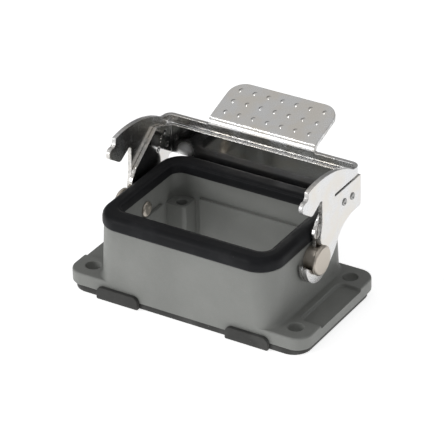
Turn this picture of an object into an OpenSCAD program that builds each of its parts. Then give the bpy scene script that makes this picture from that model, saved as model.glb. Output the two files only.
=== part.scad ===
// Bulkhead-mounting housing of a heavy duty rectangular connector: a die-cast flanged box with a rubber
// rim seal and a panel gasket, two headed pivot pins, and one sheet-metal locking lever with a nested
// spring bail. Millimetres. X runs along the long side, Y to the back, Z up; z = 0 is the panel face.

/* [Flange] */
// Flange length along X
flange_length = 82; // [80:0.5:90]
// Flange width along Y, flush with the body's long walls
flange_width = 44; // [42:0.5:50]
// Corner radius of the flange
flange_corner_r = 5; // [2:0.5:8]
// Height of the four screw pads above the panel
pad_top_z = 6.2; // [5:0.1:9]
// Depth of the recess between the screw pads at each short end
recess_depth = 1.1; // [0.5:0.1:2]
// Inner end of that recess, from the middle
recess_start_x = 33.7; // [32:0.1:36]
// Width of the recess
recess_width = 23.6; // [18:0.2:25]
// Distance between panel screws along X
screw_pitch_x = 70; // [68:0.1:72]
// Distance between panel screws along Y
screw_pitch_y = 32; // [30:0.1:34]
// Diameter of the panel screw holes
screw_hole_d = 4.7; // [4:0.1:5.5]
// Soft edge on the flange's top
flange_edge_r = 0.6; // [0.3:0.1:1]

/* [Body] */
// Outer length of the box
body_length = 60.4; // [60:0.1:61]
// Vertical corner radius of the box
body_corner_r = 7; // [4:0.5:8]
// Cast fillet where the box meets the flange
foot_fillet = 1.4; // [0.6:0.1:2]
// Top of the outer wall, where the seal's skirt stops
seal_seat_z = 24.5; // [22:0.1:27]
// Top of the thin rim inside the seal
rim_top_z = 27.2; // [26:0.1:27.5]
// How far the rim is set in from the outer wall
rim_inset = 1.7; // [1.2:0.1:2]
// Length of the opening
cavity_length = 52; // [51:0.1:53]
// Width of the opening
cavity_width = 34; // [33:0.1:35]
// Corner radius of the opening
cavity_corner_r = 4; // [3:0.5:5]
// Height of the ledge where the wall thickens
ledge_z = 17.9; // [16:0.1:20]
// How much thicker the wall is under the ledge
ledge_step = 0.9; // [0.4:0.1:1.5]
// Length of the thicker part of each long wall
long_ledge_length = 35.4; // [30:0.2:37]
// Length of the thicker part of each short wall
short_ledge_length = 16.6; // [12:0.2:20]

/* [Insert pillars] */
// Distance between insert screws along X
pillar_pitch_x = 44; // [43:0.1:45]
// Distance between insert screws along Y
pillar_pitch_y = 27; // [26:0.1:28]
// Distance from a pillar's screw to its two free faces
pillar_reach = 2.65; // [2.4:0.05:4]
// Rounding of the pillar's free corner
pillar_corner_r = 1.3; // [0.5:0.1:2]
// Height of the pillar tops
pillar_top_z = 17; // [15:0.1:18]
// Diameter of the screw holes in the pillars
insert_hole_d = 3.3; // [2.5:0.1:4]
// Depth of those holes
insert_hole_depth = 10; // [6:0.5:13]

/* [Seals] */
// Thickness of the panel gasket
gasket_t = 2; // [1:0.1:3]
// Length of the panel gasket
gasket_length = 80; // [78:0.1:82]
// Width of the panel gasket
gasket_width = 43.4; // [42:0.1:44]
// Distance of the gasket clips from the middle
clip_x = 22.3; // [18:0.1:26]
// Length of a gasket clip
clip_length = 14.6; // [10:0.1:18]
// How far a clip stands out from the flange
clip_t = 1.2; // [0.8:0.1:2]
// Top of a clip
clip_top_z = 4.2; // [3:0.1:6]
// Outer length of the rim seal
seal_length = 60.8; // [60.4:0.1:61]
// Outer width of the rim seal
seal_width = 45; // [44:0.1:46]
// Corner radius of the rim seal
seal_corner_r = 8; // [6:0.5:9]
// Top of the rim seal
seal_top_z = 28.8; // [28:0.1:30]
// Rounding along the seal's top outer edge
seal_edge_r = 2; // [1:0.1:2.5]
// Length of the seal's opening
seal_open_length = 50.7; // [49:0.1:51.5]
// Width of the seal's opening
seal_open_width = 32.3; // [31:0.1:33.5]
// Lower end of the seal's inner skirt
skirt_z = 25.3; // [24.6:0.1:26]

/* [Pivot pins] */
// Height of the pivot axis above the panel
pivot_z = 20; // [18:0.1:22]
// Diameter of the bearing part
pin_d = 7; // [6:0.1:8]
// Diameter of the head
pin_head_d = 9.2; // [8:0.1:11]
// Thickness of the head
pin_head_t = 1.3; // [1:0.1:2]
// Diameter of the shank through the wall
pin_shank_d = 4.2; // [3.5:0.1:5]
// Radial clearance between the bearing part and the lever
pin_play = 0.06; // [0.02:0.01:0.1]

/* [Lever] */
// Outer width of the lever over its arms
lever_width = 67; // [66:0.1:68]
// Sheet thickness of the lever
lever_t = 1.4; // [1:0.1:2]
// Outer face of the lever's back strip
lever_back_y = 25.05; // [25:0.05:26]
// Bend radius on the outside of the back corners
lever_bend_r = 2.6; // [2:0.1:4]
// Top of the back strip
strip_top_z = 39.86; // [39:0.1:41]
// Height of the relief slit
slit_z = 36.4; // [35:0.1:37.5]
// Width of the relief slit
slit_w = 0.7; // [0.4:0.1:1]
// Front end of the relief slit
slit_front_y = 9.5; // [8:0.1:12]
// Direction of the pin slot, up from the front
slot_angle = 35; // [30:1:40]

/* [Handle] */
// Width of the handle tab
tab_width = 36.8; // [30:0.1:44]
// Length of the flat part of the tab
tab_length = 15.5; // [12:0.1:20]
// Corner radius of the tab
tab_corner_r = 5.3; // [3:0.1:7]
// Slope of the tab above level
tab_angle = 18.2; // [10:0.1:30]
// Bend radius on the inside of the tab's bend
tab_bend_r = 1.2; // [1:0.1:2]
// Distance between grip dimples
dimple_pitch = 4.85; // [4:0.05:6]
// Height of a grip dimple
dimple_height = 0.35; // [0.2:0.05:0.5]

/* [Spring bail] */
// Sheet thickness of the spring bail
spring_t = 1.2; // [0.8:0.1:1.5]
// Gap between the two nested sheets
nest_gap = 0.05; // [0.02:0.01:0.1]
// Lower edge of the spring bail's back
spring_back_low_z = 27.6; // [27.5:0.1:30]
// Upper edge of the spring bail's back
spring_back_top_z = 37.2; // [36:0.1:38]
// Width of the slot mouth in the spring bail, narrower than the pin
snap_mouth_w = 6.4; // [6:0.1:6.9]

/* [Rivets] */
// Shank diameter of the lever rivets
rivet_d = 1.5; // [1:0.1:2]
// Head diameter of the lever rivets
rivet_head_d = 2.3; // [1.8:0.1:3]
// Head height of the lever rivets
rivet_head_h = 0.35; // [0.2:0.05:0.6]
// Height of the front rivet
rivet_front_z = 31.8; // [31:0.1:33]
// Distance of the front rivet behind the pivot
rivet_front_y = 15.1; // [13:0.1:16]
// Height of the rear rivet
rivet_rear_z = 31.4; // [31:0.1:33]
// Distance of the rear rivet behind the pivot
rivet_rear_y = 19.9; // [18:0.1:20.5]

/* [Hidden] */
$fn = 48;
fit = 0.02;
arm_outer_x = lever_width / 2;
arm_inner_x = arm_outer_x - lever_t;
spring_outer_x = arm_inner_x - nest_gap;
spring_inner_x = spring_outer_x - spring_t;
strip_inner_y = lever_back_y - lever_t;
spring_back_y = strip_inner_y - nest_gap;
spring_face_y = spring_back_y - spring_t;
pin_head_x = arm_outer_x + 0.3;
wall_x = body_length / 2;
tab_bend_y = lever_back_y + tab_bend_r;
die_cast_grey = [0.51, 0.52, 0.51];
rubber_black = [0.13, 0.13, 0.14];
zinc = [0.80, 0.81, 0.82];
nickel = [0.75, 0.72, 0.68];

// a rectangle with round corners, centred
module round_rect(l, w, r) {
  square([l - 2 * r, w], center = true);
  square([l, w - 2 * r], center = true);
  for (sx = [-1, 1], sy = [-1, 1]) translate([sx * (l / 2 - r), sy * (w / 2 - r)]) circle(r);
}

// an upright block from z0 to z1 with round corners
module block(l, w, r, z0, z1) {
  translate([0, 0, z0]) linear_extrude(z1 - z0) round_rect(l, w, r);
}

// the same block with its top edge rounded by f
module soft_block(l, w, r, z0, z1, f) {
  block(l, w, r, z0, z1 - f);
  block(l - 2 * f, w - 2 * f, r - f, z0, z1);
  for (s = [-1, 1]) {
    translate([-(l / 2 - r), s * (w / 2 - f), z1 - f]) rotate([0, 90, 0]) cylinder(r = f, h = l - 2 * r);
    translate([s * (l / 2 - f), -(w / 2 - r), z1 - f]) rotate([-90, 0, 0]) cylinder(r = f, h = w - 2 * r);
  }
  for (sx = [0, 1], sy = [0, 1]) mirror([sx, 0, 0]) mirror([0, sy, 0])
    translate([l / 2 - r, w / 2 - r, z1 - f]) rotate_extrude(angle = 90) translate([r - f, 0]) circle(f);
}

// concave fillet around an upright block's foot, growing outward by f at z0
module foot(l, w, r, z0, f) {
  module profile() difference() { square([f, f]); translate([f, f]) circle(f); }
  for (sx = [0, 1], sy = [0, 1]) mirror([sx, 0, 0]) mirror([0, sy, 0])
    translate([l / 2 - r, w / 2 - r, z0]) rotate_extrude(angle = 90) translate([r, 0]) profile();
  for (s = [0, 1]) mirror([s, 0, 0])
    translate([l / 2, w / 2 - r, z0]) rotate([90, 0, 0]) linear_extrude(w - 2 * r) profile();
}

// lays a drawing of (Y, Z) upright and gives it thickness along +X from x0
module side_sheet(x0, t) {
  translate([x0, 0, 0]) rotate([90, 0, 90]) linear_extrude(t) children();
}

module screw_holes(px, py, d, z0, z1) {
  for (sx = [-1, 1], sy = [-1, 1]) translate([sx * px / 2, sy * py / 2, z0]) cylinder(d = d, h = z1 - z0);
}

// plan of the pillar in the +X +Y corner, running into both walls
module pillar_plan() {
  x = pillar_pitch_x / 2 - pillar_reach;
  y = pillar_pitch_y / 2 - pillar_reach;
  translate([x + pillar_corner_r, y]) square([9, 9]);
  translate([x, y + pillar_corner_r]) square([9, 9]);
  translate([x + pillar_corner_r, y + pillar_corner_r]) circle(pillar_corner_r);
}

module housing() color(die_cast_grey) {
  difference() {
    union() {
      difference() {
        soft_block(flange_length, flange_width, flange_corner_r, gasket_t, pad_top_z, flange_edge_r);
        for (s = [-1, 1]) translate([s * (recess_start_x + 6), 0, pad_top_z - recess_depth])
          linear_extrude(2) round_rect(12, recess_width, 2.2);
        for (s = [-1, 1]) translate([s * 42, 0, pad_top_z - recess_depth + 1])
          cube([6, recess_width, 2], center = true);
      }
      block(body_length, flange_width, body_corner_r, gasket_t, seal_seat_z);
      block(body_length - 2 * rim_inset, flange_width - 2 * rim_inset, body_corner_r - rim_inset,
            seal_seat_z - 1, rim_top_z);
      intersection() {
        foot(body_length, flange_width, body_corner_r, pad_top_z, foot_fillet);
        cube([flange_length, flange_width, 40], center = true);
      }
    }
    difference() {
      block(cavity_length, cavity_width, cavity_corner_r, gasket_t - 1, rim_top_z + 1);
      // thicker lower walls, which end short of the pillars
      for (s = [0, 1]) {
        mirror([0, s, 0]) translate([-long_ledge_length / 2, cavity_width / 2 - ledge_step, 0])
          cube([long_ledge_length, ledge_step + 1, ledge_z]);
        mirror([s, 0, 0]) translate([cavity_length / 2 - ledge_step, -short_ledge_length / 2, 0])
          cube([ledge_step + 1, short_ledge_length, ledge_z]);
      }
      for (sx = [0, 1], sy = [0, 1]) mirror([sx, 0, 0]) mirror([0, sy, 0])
        linear_extrude(pillar_top_z) pillar_plan();
    }
    screw_holes(screw_pitch_x, screw_pitch_y, screw_hole_d, 0, pad_top_z + 1);
    for (sx = [-1, 1], sy = [-1, 1])
      translate([sx * screw_pitch_x / 2, sy * screw_pitch_y / 2, pad_top_z - 0.3])
        cylinder(d1 = screw_hole_d, d2 = screw_hole_d + 0.8, h = 0.4);
    screw_holes(pillar_pitch_x, pillar_pitch_y, insert_hole_d, pillar_top_z - insert_hole_depth,
                pillar_top_z + 1);
    for (s = [-1, 1]) translate([s * wall_x, 0, pivot_z]) rotate([0, 90, 0])
      cylinder(d = pin_shank_d + 2 * fit, h = 12, center = true);
  }
}

module flange_gasket() color(rubber_black) {
  difference() {
    block(gasket_length, gasket_width, 5.5, 0, gasket_t);
    block(54, 36, 4, -1, gasket_t + 1);
    screw_holes(screw_pitch_x, screw_pitch_y, screw_hole_d + 0.6, -1, gasket_t + 1);
  }
  for (sx = [-1, 1], sy = [0, 1]) mirror([0, sy, 0]) translate([sx * clip_x, 0, 0]) {
    translate([-clip_length / 2, gasket_width / 2 - 1, 0])
      cube([clip_length, flange_width / 2 + clip_t - gasket_width / 2 + 1, gasket_t]);
    translate([0, flange_width / 2 + clip_t, 0]) rotate([90, 0, 0]) linear_extrude(clip_t - fit) {
      translate([-clip_length / 2, 0]) square([clip_length, clip_top_z - 2]);
      translate([-clip_length / 2 + 2, 0]) square([clip_length - 4, clip_top_z]);
      for (s = [-1, 1]) translate([s * (clip_length / 2 - 2), clip_top_z - 2]) circle(2);
    }
  }
}

module rim_seal() color(rubber_black) difference() {
  soft_block(seal_length, seal_width, seal_corner_r, seal_seat_z, seal_top_z, seal_edge_r);
  block(seal_open_length, seal_open_width, cavity_corner_r - 0.7, seal_seat_z - 1, seal_top_z + 1);
  block(cavity_length + 0.1, cavity_width + 0.1, cavity_corner_r, seal_seat_z - 1, skirt_z);
  difference() {
    block(body_length - 2 * rim_inset + 2 * fit, flange_width - 2 * rim_inset + 2 * fit,
          body_corner_r - rim_inset, seal_seat_z - 1, rim_top_z + fit);
    block(cavity_length - 2 * fit, cavity_width - 2 * fit, cavity_corner_r, seal_seat_z - 2, rim_top_z + 1);
  }
}

// headed pin along X: clinched end, shank, bearing part, bevelled head
module pivot_pin(side) color(nickel) {
  b = pin_d / 2;
  h = pin_head_d / 2;
  k = pin_shank_d / 2;
  x0 = cavity_length / 2;
  mirror([side < 0 ? 1 : 0, 0, 0]) translate([0, 0, pivot_z]) rotate([0, 90, 0]) rotate_extrude()
    polygon([[0, x0 - 0.8], [1.5, x0 - 0.8], [k + 0.1, x0 - 0.55], [k + 0.35, x0 - 0.15], [k + 0.35, x0],
             [k, x0], [k, wall_x], [b, wall_x], [b, pin_head_x], [h - 0.25, pin_head_x],
             [h, pin_head_x + 0.25], [h, pin_head_x + pin_head_t - 0.35],
             [h - 0.35, pin_head_x + pin_head_t], [0, pin_head_x + pin_head_t]]);
}

// the slot a pin enters, open up and to the front, mouth w wide
module pin_slot(w) {
  translate([0, pivot_z]) circle(pin_d / 2 + pin_play);
  translate([0, pivot_z]) rotate(180 - slot_angle) translate([0, -w / 2]) square([14, w]);
}

// the lower end that both sheets share: a J around the pin
module j_end(rear_y, rear_z) {
  difference() {
    union() {
      translate([0, pivot_z]) circle(7.2);
      translate([0.9, pivot_z + 0.2]) circle(7);
    }
    translate([-9, pivot_z + 1]) square([11, 9]);
  }
  polygon([[2, 23], [2, 15], [6.6, 16.1], [8.2, 17.4], [10.1, 19.4], [11.4, 21.6], [13.1, 23.4],
           [15.6, 24.9], [18.4, 25.8], [rear_y, rear_z], [rear_y, 33], [3, 31], [1.9, 24]]);
}

// (Y, Z) outline of a lever arm with hook, notch, pin slot and relief slit
module lever_arm_outline() difference() {
  union() {
    intersection() {
      translate([1, 9.6]) circle(36.2, $fn = 128);
      polygon([[-5.6, 44.9], [-6.4, 43.2], [-7.4, 42.6], [-9.2, 40.6], [-8.6, 39.45],
               [-4.6, 36.7], [-2.8, 36.6], [0.4, 38.3], [2.2, 37.7], [2.2, 31.5], [1.75, 28.5],
               [1.2, 26], [1.3, 24.6], [2.2, 23], [12, 24], [lever_back_y - lever_bend_r, 26],
               [lever_back_y - lever_bend_r, 50], [-4.6, 50]]);
    }
    translate([-7.4, 40.8]) circle(1.85);
    translate([-3.64, 38.1]) circle(1.7);
    translate([20.5, 26]) square([lever_back_y - lever_bend_r - 20.5, strip_top_z - 26]);
    translate([15, 26]) square([lever_back_y - 15.8, slit_z - 26]);
    translate([15, 26.8]) square([lever_back_y - 15, slit_z - 26.8]);
    translate([lever_back_y - 0.8, 26.8]) circle(0.8);
    j_end(21, 26);
  }
  translate([1.2, 37.7]) circle(1);
  polygon([[0.4, 38.3], [-2.8, 36.55], [-2, 32], [2.2, 32], [2.2, 37.7]]);
  pin_slot(pin_d + 2 * pin_play);
  translate([slit_front_y, slit_z]) square([20, slit_w]);
}

// the shaped tab, lying flat with its root on the X axis
module tab_outline() {
  r = tab_corner_r;
  translate([-tab_width / 2, 0]) square([tab_width, tab_length - r]);
  translate([-tab_width / 2 + r, 0]) square([tab_width - 2 * r, tab_length]);
  for (s = [-1, 1]) translate([s * (tab_width / 2 - r), tab_length - r]) circle(r);
}

// the U seen from above, back at y = back, outside width w, outside bend r, sheet t
module u_plan(w, back, r, t, front) {
  module solid_u(w, back, r) {
    translate([-w / 2, front - 1]) square([w, back - r - front + 1]);
    translate([-w / 2 + r, front - 1]) square([w - 2 * r, back - front + 1]);
    for (s = [-1, 1]) translate([s * (w / 2 - r), back - r]) circle(r);
  }
  difference() {
    solid_u(w, back, r);
    solid_u(w - 2 * t, back - t, max(r - t, 0.3));
    translate([-w, front - 3]) square([2 * w, 3]);
  }
}

module locking_lever() color(zinc) {
  difference() {
    union() {
      for (s = [0, 1]) mirror([s, 0, 0]) side_sheet(arm_inner_x, lever_t) lever_arm_outline();
      translate([0, 0, slit_z + slit_w]) linear_extrude(strip_top_z - slit_z - slit_w)
        u_plan(lever_width, lever_back_y, lever_bend_r, lever_t, lever_back_y - lever_bend_r - 0.5);
    }
    for (s = [-1, 1], p = [[rivet_front_y, rivet_front_z], [rivet_rear_y, rivet_rear_z]])
      translate([s * arm_outer_x, p[0], p[1]]) rotate([0, 90, 0])
        cylinder(d = rivet_d + 2 * fit, h = 8, center = true);
  }
  // bend and tab of the handle
  translate([-tab_width / 2, tab_bend_y, strip_top_z]) rotate([90, 0, 90])
    rotate([0, 0, 90 + tab_angle]) rotate_extrude(angle = 90 - tab_angle)
      translate([tab_bend_r, 0]) square([lever_t, tab_width]);
  translate([0, tab_bend_y, strip_top_z]) rotate([tab_angle, 0, 0]) translate([0, 0, tab_bend_r])
    difference() {
      union() {
        linear_extrude(lever_t) tab_outline();
        for (i = [-3:3], j = [0:2])
          translate([i * dimple_pitch, 2.5 + j * dimple_pitch, lever_t + dimple_height - 1.3])
            sphere(1.3);
      }
      for (i = [-3:3], j = [0:2])
        translate([i * dimple_pitch, 2.5 + j * dimple_pitch, dimple_height - 1.3]) sphere(1.3);
      translate([-tab_width / 2, 0, -4]) cube([tab_width, tab_length, 3]);
    }
}

// (Y, Z) outline of a spring arm: a slanted front edge, a lip over the pin and the same J
module spring_arm_outline() difference() {
  union() {
    polygon([[14, 39.1], [2.6, 31.2], [0.75, 28.7], [0.32, 27.9], [0.6, 24.6], [1.6, 23], [12.5, 23],
             [21, 26.4], [22.0, 27.6], [spring_back_y - 1.7, spring_back_low_z],
             [spring_back_y - 1.7, spring_back_top_z],
             [19.2, 38.2], [15.3, 39.5]]);
    translate([14.8, 38.5]) circle(1);
    translate([1.9, 27.2]) circle(1.75);
    j_end(21, 26.4);
  }
  pin_slot(snap_mouth_w);
}

module spring_bail() color(zinc) difference() {
  union() {
    for (s = [0, 1]) mirror([s, 0, 0]) side_sheet(spring_inner_x, spring_t) spring_arm_outline();
    translate([0, 0, spring_back_low_z]) linear_extrude(spring_back_top_z - spring_back_low_z)
      u_plan(2 * spring_outer_x, spring_back_y, 1.7, spring_t, spring_back_y - 2.2);
  }
  for (s = [-1, 1], p = [[rivet_front_y, rivet_front_z], [rivet_rear_y, rivet_rear_z]])
    translate([s * spring_outer_x, p[0], p[1]]) rotate([0, 90, 0])
      cylinder(d = rivet_d + 2 * fit, h = 8, center = true);
  // two pressed dents on the inside of each arm
  for (s = [-1, 1], p = [[16.7, 35.2], [18.9, 36]])
    translate([s * (spring_inner_x - 0.55), p[0], p[1]]) sphere(0.9);
}

// side: +1 right, -1 left
module lever_rivet(side, y, z) color(zinc) mirror([side < 0 ? 1 : 0, 0, 0])
  translate([0, y, z]) rotate([0, 90, 0]) rotate_extrude()
    polygon([[0, spring_inner_x], [rivet_d / 2, spring_inner_x], [rivet_d / 2, arm_outer_x],
             [rivet_head_d / 2, arm_outer_x], [rivet_head_d / 2 - 0.1, arm_outer_x + 0.2],
             [rivet_head_d / 2 - 0.5, arm_outer_x + rivet_head_h], [0, arm_outer_x + rivet_head_h]]);

housing();
flange_gasket();
rim_seal();
pivot_pin(1);  // pivot_pin_right
pivot_pin(-1);  // pivot_pin_left
locking_lever();
spring_bail();
lever_rivet(1, rivet_front_y, rivet_front_z);  // rivet_right_front
lever_rivet(1, rivet_rear_y, rivet_rear_z);  // rivet_right_rear
lever_rivet(-1, rivet_front_y, rivet_front_z);  // rivet_left_front
lever_rivet(-1, rivet_rear_y, rivet_rear_z);  // rivet_left_rear
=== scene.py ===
"""Panel-mount connector housing with its locking lever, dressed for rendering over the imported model."""

import logging
import math
from dataclasses import dataclass, field, replace
from enum import Enum
from typing import Callable, Sequence

import bmesh
import bpy
import numpy as np
from mathutils import Matrix, Vector
from mathutils.geometry import delaunay_2d_cdt


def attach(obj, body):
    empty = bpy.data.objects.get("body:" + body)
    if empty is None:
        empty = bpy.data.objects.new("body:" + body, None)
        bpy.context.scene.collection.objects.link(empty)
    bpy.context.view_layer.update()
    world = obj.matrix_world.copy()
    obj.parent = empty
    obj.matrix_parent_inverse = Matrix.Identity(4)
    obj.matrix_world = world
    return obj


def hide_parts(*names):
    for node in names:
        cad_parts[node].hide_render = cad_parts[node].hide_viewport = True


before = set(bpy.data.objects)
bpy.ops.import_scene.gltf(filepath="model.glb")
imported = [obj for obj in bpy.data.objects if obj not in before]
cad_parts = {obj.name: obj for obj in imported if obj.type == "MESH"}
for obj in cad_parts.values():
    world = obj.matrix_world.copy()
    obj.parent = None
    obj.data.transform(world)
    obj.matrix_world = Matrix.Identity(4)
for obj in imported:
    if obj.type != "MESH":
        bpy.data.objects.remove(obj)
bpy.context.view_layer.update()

MM: float = 0.001
LOG: logging.Logger = logging.getLogger("connector_housing")

Node, Socket, Piece = bpy.types.Node, bpy.types.NodeSocket, bpy.types.Object
Section = Sequence[tuple[float, float]]
Corners = list[tuple[float, float, float]]
Colour = tuple[float, float, float]
Placement = Callable[[np.ndarray], tuple[np.ndarray, np.ndarray]]

# what several pieces share, in millimetres; a rivet's place is its y and z
PIVOT_HEIGHT: float = 20.0
J_RADIUS: float = 7.2
PIN_SLOT_RADIUS: float = 3.56
RIVET_HOLE_RADIUS: float = 0.77
RIVETS: dict[str, tuple[float, float]] = {"front": (15.1, 31.8), "rear": (19.9, 31.4)}
PANEL_SCREW: tuple[float, float] = (35.0, 16.0)
OUTLINE_STEP: float = 0.5
INNER_GAP: float = 0.42


class Cut(Enum):
    """How one closed shell acts on another."""

    ADD = "UNION"
    REMOVE = "DIFFERENCE"


class Side(Enum):
    """The two ends of the housing, as the sign of X."""

    RIGHT = 1
    LEFT = -1


# ---- Surfaces ------------------------------------------------------------------------------


@dataclass
class Shell:
    """A surface being built, in millimetres: points, faces, an edge mask and the flat pattern's places."""

    points: np.ndarray
    quads: np.ndarray = field(default_factory=lambda: np.zeros((0, 4), int))
    triangles: np.ndarray = field(default_factory=lambda: np.zeros((0, 3), int))
    edge: np.ndarray | None = None
    flat: np.ndarray | None = None

    def moved(self, x: float = 0.0, y: float = 0.0, z: float = 0.0) -> "Shell":
        """The same shell shifted by x, y, z millimetres."""
        return replace(self, points=self.points + np.array([x, y, z]))

    def mirrored(self, x: bool = False, y: bool = False) -> "Shell":
        """The shell mirrored across X = 0 or Y = 0, its faces turned so that they still point outwards."""
        scale = np.array([-1.0 if x else 1.0, -1.0 if y else 1.0, 1.0])
        turn = slice(None, None, -1) if x != y else slice(None)
        return replace(
            self, points=self.points * scale, quads=self.quads[:, turn], triangles=self.triangles[:, turn]
        )

    def in_quarters(self) -> list["Shell"]:
        """The shell and its mirror images, one in each quarter of the plan."""
        return [self, self.mirrored(x=True), self.mirrored(y=True), self.mirrored(x=True, y=True)]

    def along_x(self) -> "Shell":
        """The shell turned a quarter about Y, so that what pointed up points along +X."""
        return replace(self, points=self.points[:, [2, 1, 0]] * np.array([1.0, 1.0, -1.0]))


def joined(shells: Sequence[Shell]) -> Shell:
    """Several shells as one, side by side.

    Args:
        shells: closed shells, which may or may not touch.

    Returns:
        One shell whose indices run on from one to the next.
    """
    starts = np.cumsum([0] + [len(s.points) for s in shells[:-1]])
    masks = [s.edge if s.edge is not None else np.zeros(len(s.points)) for s in shells]
    flats = [s.flat if s.flat is not None else np.zeros((len(s.points), 2)) for s in shells]
    return Shell(
        np.vstack([s.points for s in shells]),
        np.vstack([s.quads + a for s, a in zip(shells, starts)]),
        np.vstack([s.triangles + a for s, a in zip(shells, starts)]),
        np.concatenate(masks),
        np.vstack(flats),
    )


def box_loop(hx: float, hy: float, r: float, steps: int = 8) -> tuple[np.ndarray, np.ndarray]:
    """A rectangle with round corners as one counterclockwise loop.

    Each corner is an arc: centre + r (cos a, sin a), a over 90 degrees.

    Args:
        hx: half length along X.
        hy: half length along Y.
        r: corner radius.
        steps: segments in each corner.

    Returns:
        Points and outward normals, each (4 (steps + 1), 2).
    """
    a = np.radians(np.linspace(0, 90, steps + 1))[None, :] + np.radians([0, 90, 180, 270])[:, None]
    centre = np.array([[1, 1], [-1, 1], [-1, -1], [1, -1]]) * np.array([hx - r, hy - r])
    normal = np.stack([np.cos(a), np.sin(a)], -1)
    return (centre[:, None, :] + r * normal).reshape(-1, 2), normal.reshape(-1, 2)


def strip_faces(rows: int, columns: int, close_rows: bool) -> np.ndarray:
    """Quads between neighbouring closed rings.

    Args:
        rows: number of rings.
        columns: points in each ring; the last joins the first.
        close_rows: True joins the last ring to the first.

    Returns:
        Quads as (n, 4) indices, outward for rings that go up and run counterclockwise.
    """
    i, j = np.meshgrid(np.arange(rows if close_rows else rows - 1), np.arange(columns), indexing="ij")
    k, n = (i + 1) % rows, (j + 1) % columns
    return np.stack([i * columns + j, i * columns + n, k * columns + n, k * columns + j], -1).reshape(-1, 4)


def ring_shell(
    rows: Sequence[tuple[float, ...]], close: bool = False, steps: int = 8, flare: Sequence[float] = ()
) -> Shell:
    """A surface through a stack of round-cornered rectangles.

    Row k is the loop of half sizes (hx, hy) and corner radius r at height z. A flare moves each
    point out by flare times the square of its normal's X part, so only the short ends spread.

    Args:
        rows: (hx, hy, r, z) or (hx, hy, r, z, edge) for each ring, in order along the section.
        close: True makes the section a closed loop; otherwise both ends get flat caps.
        steps: segments in each corner.
        flare: one outward spread for each row, or nothing.

    Returns:
        The closed shell.
    """
    rings = []
    for row, grow in zip(rows, list(flare) or [0.0] * len(rows)):
        loop, normal = box_loop(*row[:3], steps)
        loop = loop + grow * normal[:, :1] ** 2 * normal
        rings.append(np.column_stack([loop, np.full(len(loop), row[3])]))
    n = len(rings[0])
    edge = np.repeat([row[4] if len(row) > 4 else 0.0 for row in rows], n)
    shell = Shell(np.vstack(rings), strip_faces(len(rows), n, close), edge=edge)
    return shell if close else with_caps(shell, n)


def with_caps(shell: Shell, n: int) -> Shell:
    """The shell with a fan of triangles from the middle of its first and last rings of n points."""
    total = len(shell.points)
    ends = [np.arange(n), np.arange(total - n, total)]
    middles = np.array([shell.points[e].mean(0) for e in ends])
    low = np.column_stack([np.roll(ends[0], -1), ends[0], np.full(n, total)])
    high = np.column_stack([ends[1], np.roll(ends[1], -1), np.full(n, total + 1)])
    edge = None if shell.edge is None else np.append(shell.edge, [0.0, 0.0])
    return Shell(np.vstack([shell.points, middles]), shell.quads, np.vstack([low, high]), edge)


def quarter(across: float, up: float, r: float, start: float, steps: int = 5) -> list[tuple[float, float]]:
    """Points (across + |r| cos a, up + |r| sin a) for 90 degrees from start; backwards where r < 0."""
    a = np.radians(start + np.linspace(0, 90, steps + 1))
    arc = np.column_stack([across + abs(r) * np.cos(a), up + abs(r) * np.sin(a)])
    return [tuple(p) for p in (arc if r > 0 else arc[::-1])]


def offset_rows(hx: float, hy: float, r: float, section: Section) -> list[tuple[float, ...]]:
    """Rows for ring_shell: each (offset o, height z) gives the outline hx + o, hy + o, r + o at z."""
    return [(hx + o, hy + o, max(r + o, 0.05), z) for o, z in section]


def revolved(section: Section, steps: int = 64, edge: Sequence[float] = ()) -> Shell:
    """A solid of revolution about Z.

    Args:
        section: radius and height from the bottom centre, outwards and up, to the top centre.
        steps: segments around.
        edge: the edge mask of each point of the section, or nothing.

    Returns:
        The closed shell; points of zero radius become one pole when doubles are merged.
    """
    s = np.array(section, float)
    a = np.linspace(0, 2 * np.pi, steps, endpoint=False)
    points = np.stack([s[:, :1] * np.cos(a), s[:, :1] * np.sin(a), np.repeat(s[:, 1:], steps, 1)], -1)
    mask = np.repeat(edge, steps) if len(edge) else None
    return Shell(points.reshape(-1, 3), strip_faces(len(s), steps, False), edge=mask)


def lying(section: Section, steps: int, side: Side, edge: Sequence[float] = ()) -> Shell:
    """A solid of revolution laid along X, at that end of the housing."""
    shell = revolved(section, steps, edge).along_x()
    return shell.mirrored(x=True) if side is Side.LEFT else shell


# ---- Outlines and bent sheet ---------------------------------------------------------------


# ---- Outlines and bent sheet ----------------------------------------------------------------


def round_hole(r: float, steps: int = 24) -> np.ndarray:
    """A circle of radius r about 0, counterclockwise, as steps points (r cos a, r sin a)."""
    a = np.linspace(0, 2 * np.pi, steps, endpoint=False)
    return r * np.stack([np.cos(a), np.sin(a)], 1)


def spokes(rings: Sequence[float], steps: int) -> np.ndarray:
    """Points (r cos a, r sin a) for each ring's radius r, one spoke after the other."""
    r, a = np.meshgrid(rings, np.linspace(0, 2 * np.pi, steps, endpoint=False))
    return np.column_stack([(r * np.cos(a)).ravel(), (r * np.sin(a)).ravel()])


def disc(rings: Sequence[float], steps: int) -> np.ndarray:
    """The points of spokes, rounded to 0.001 and without doubles."""
    return np.unique(np.round(spokes(rings, steps), 3), axis=0)


def dome(d: np.ndarray) -> np.ndarray:
    """Height of a unit cap at a distance d from its middle: (1 - d^2)^1.5, and 0 past its radius."""
    return np.clip(1 - d ** 2, 0, 1) ** 1.5


def sweep(y: float, z: float, r: float, first: float, last: float, steps: int = 10) -> Corners:
    """Unrounded corners on an arc about (y, z), from first to last in degrees from +Y towards +Z."""
    a = np.radians(np.linspace(first, last, steps + 1))
    return [(float(y + r * np.cos(k)), float(z + r * np.sin(k)), 0.0) for k in a]


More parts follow.
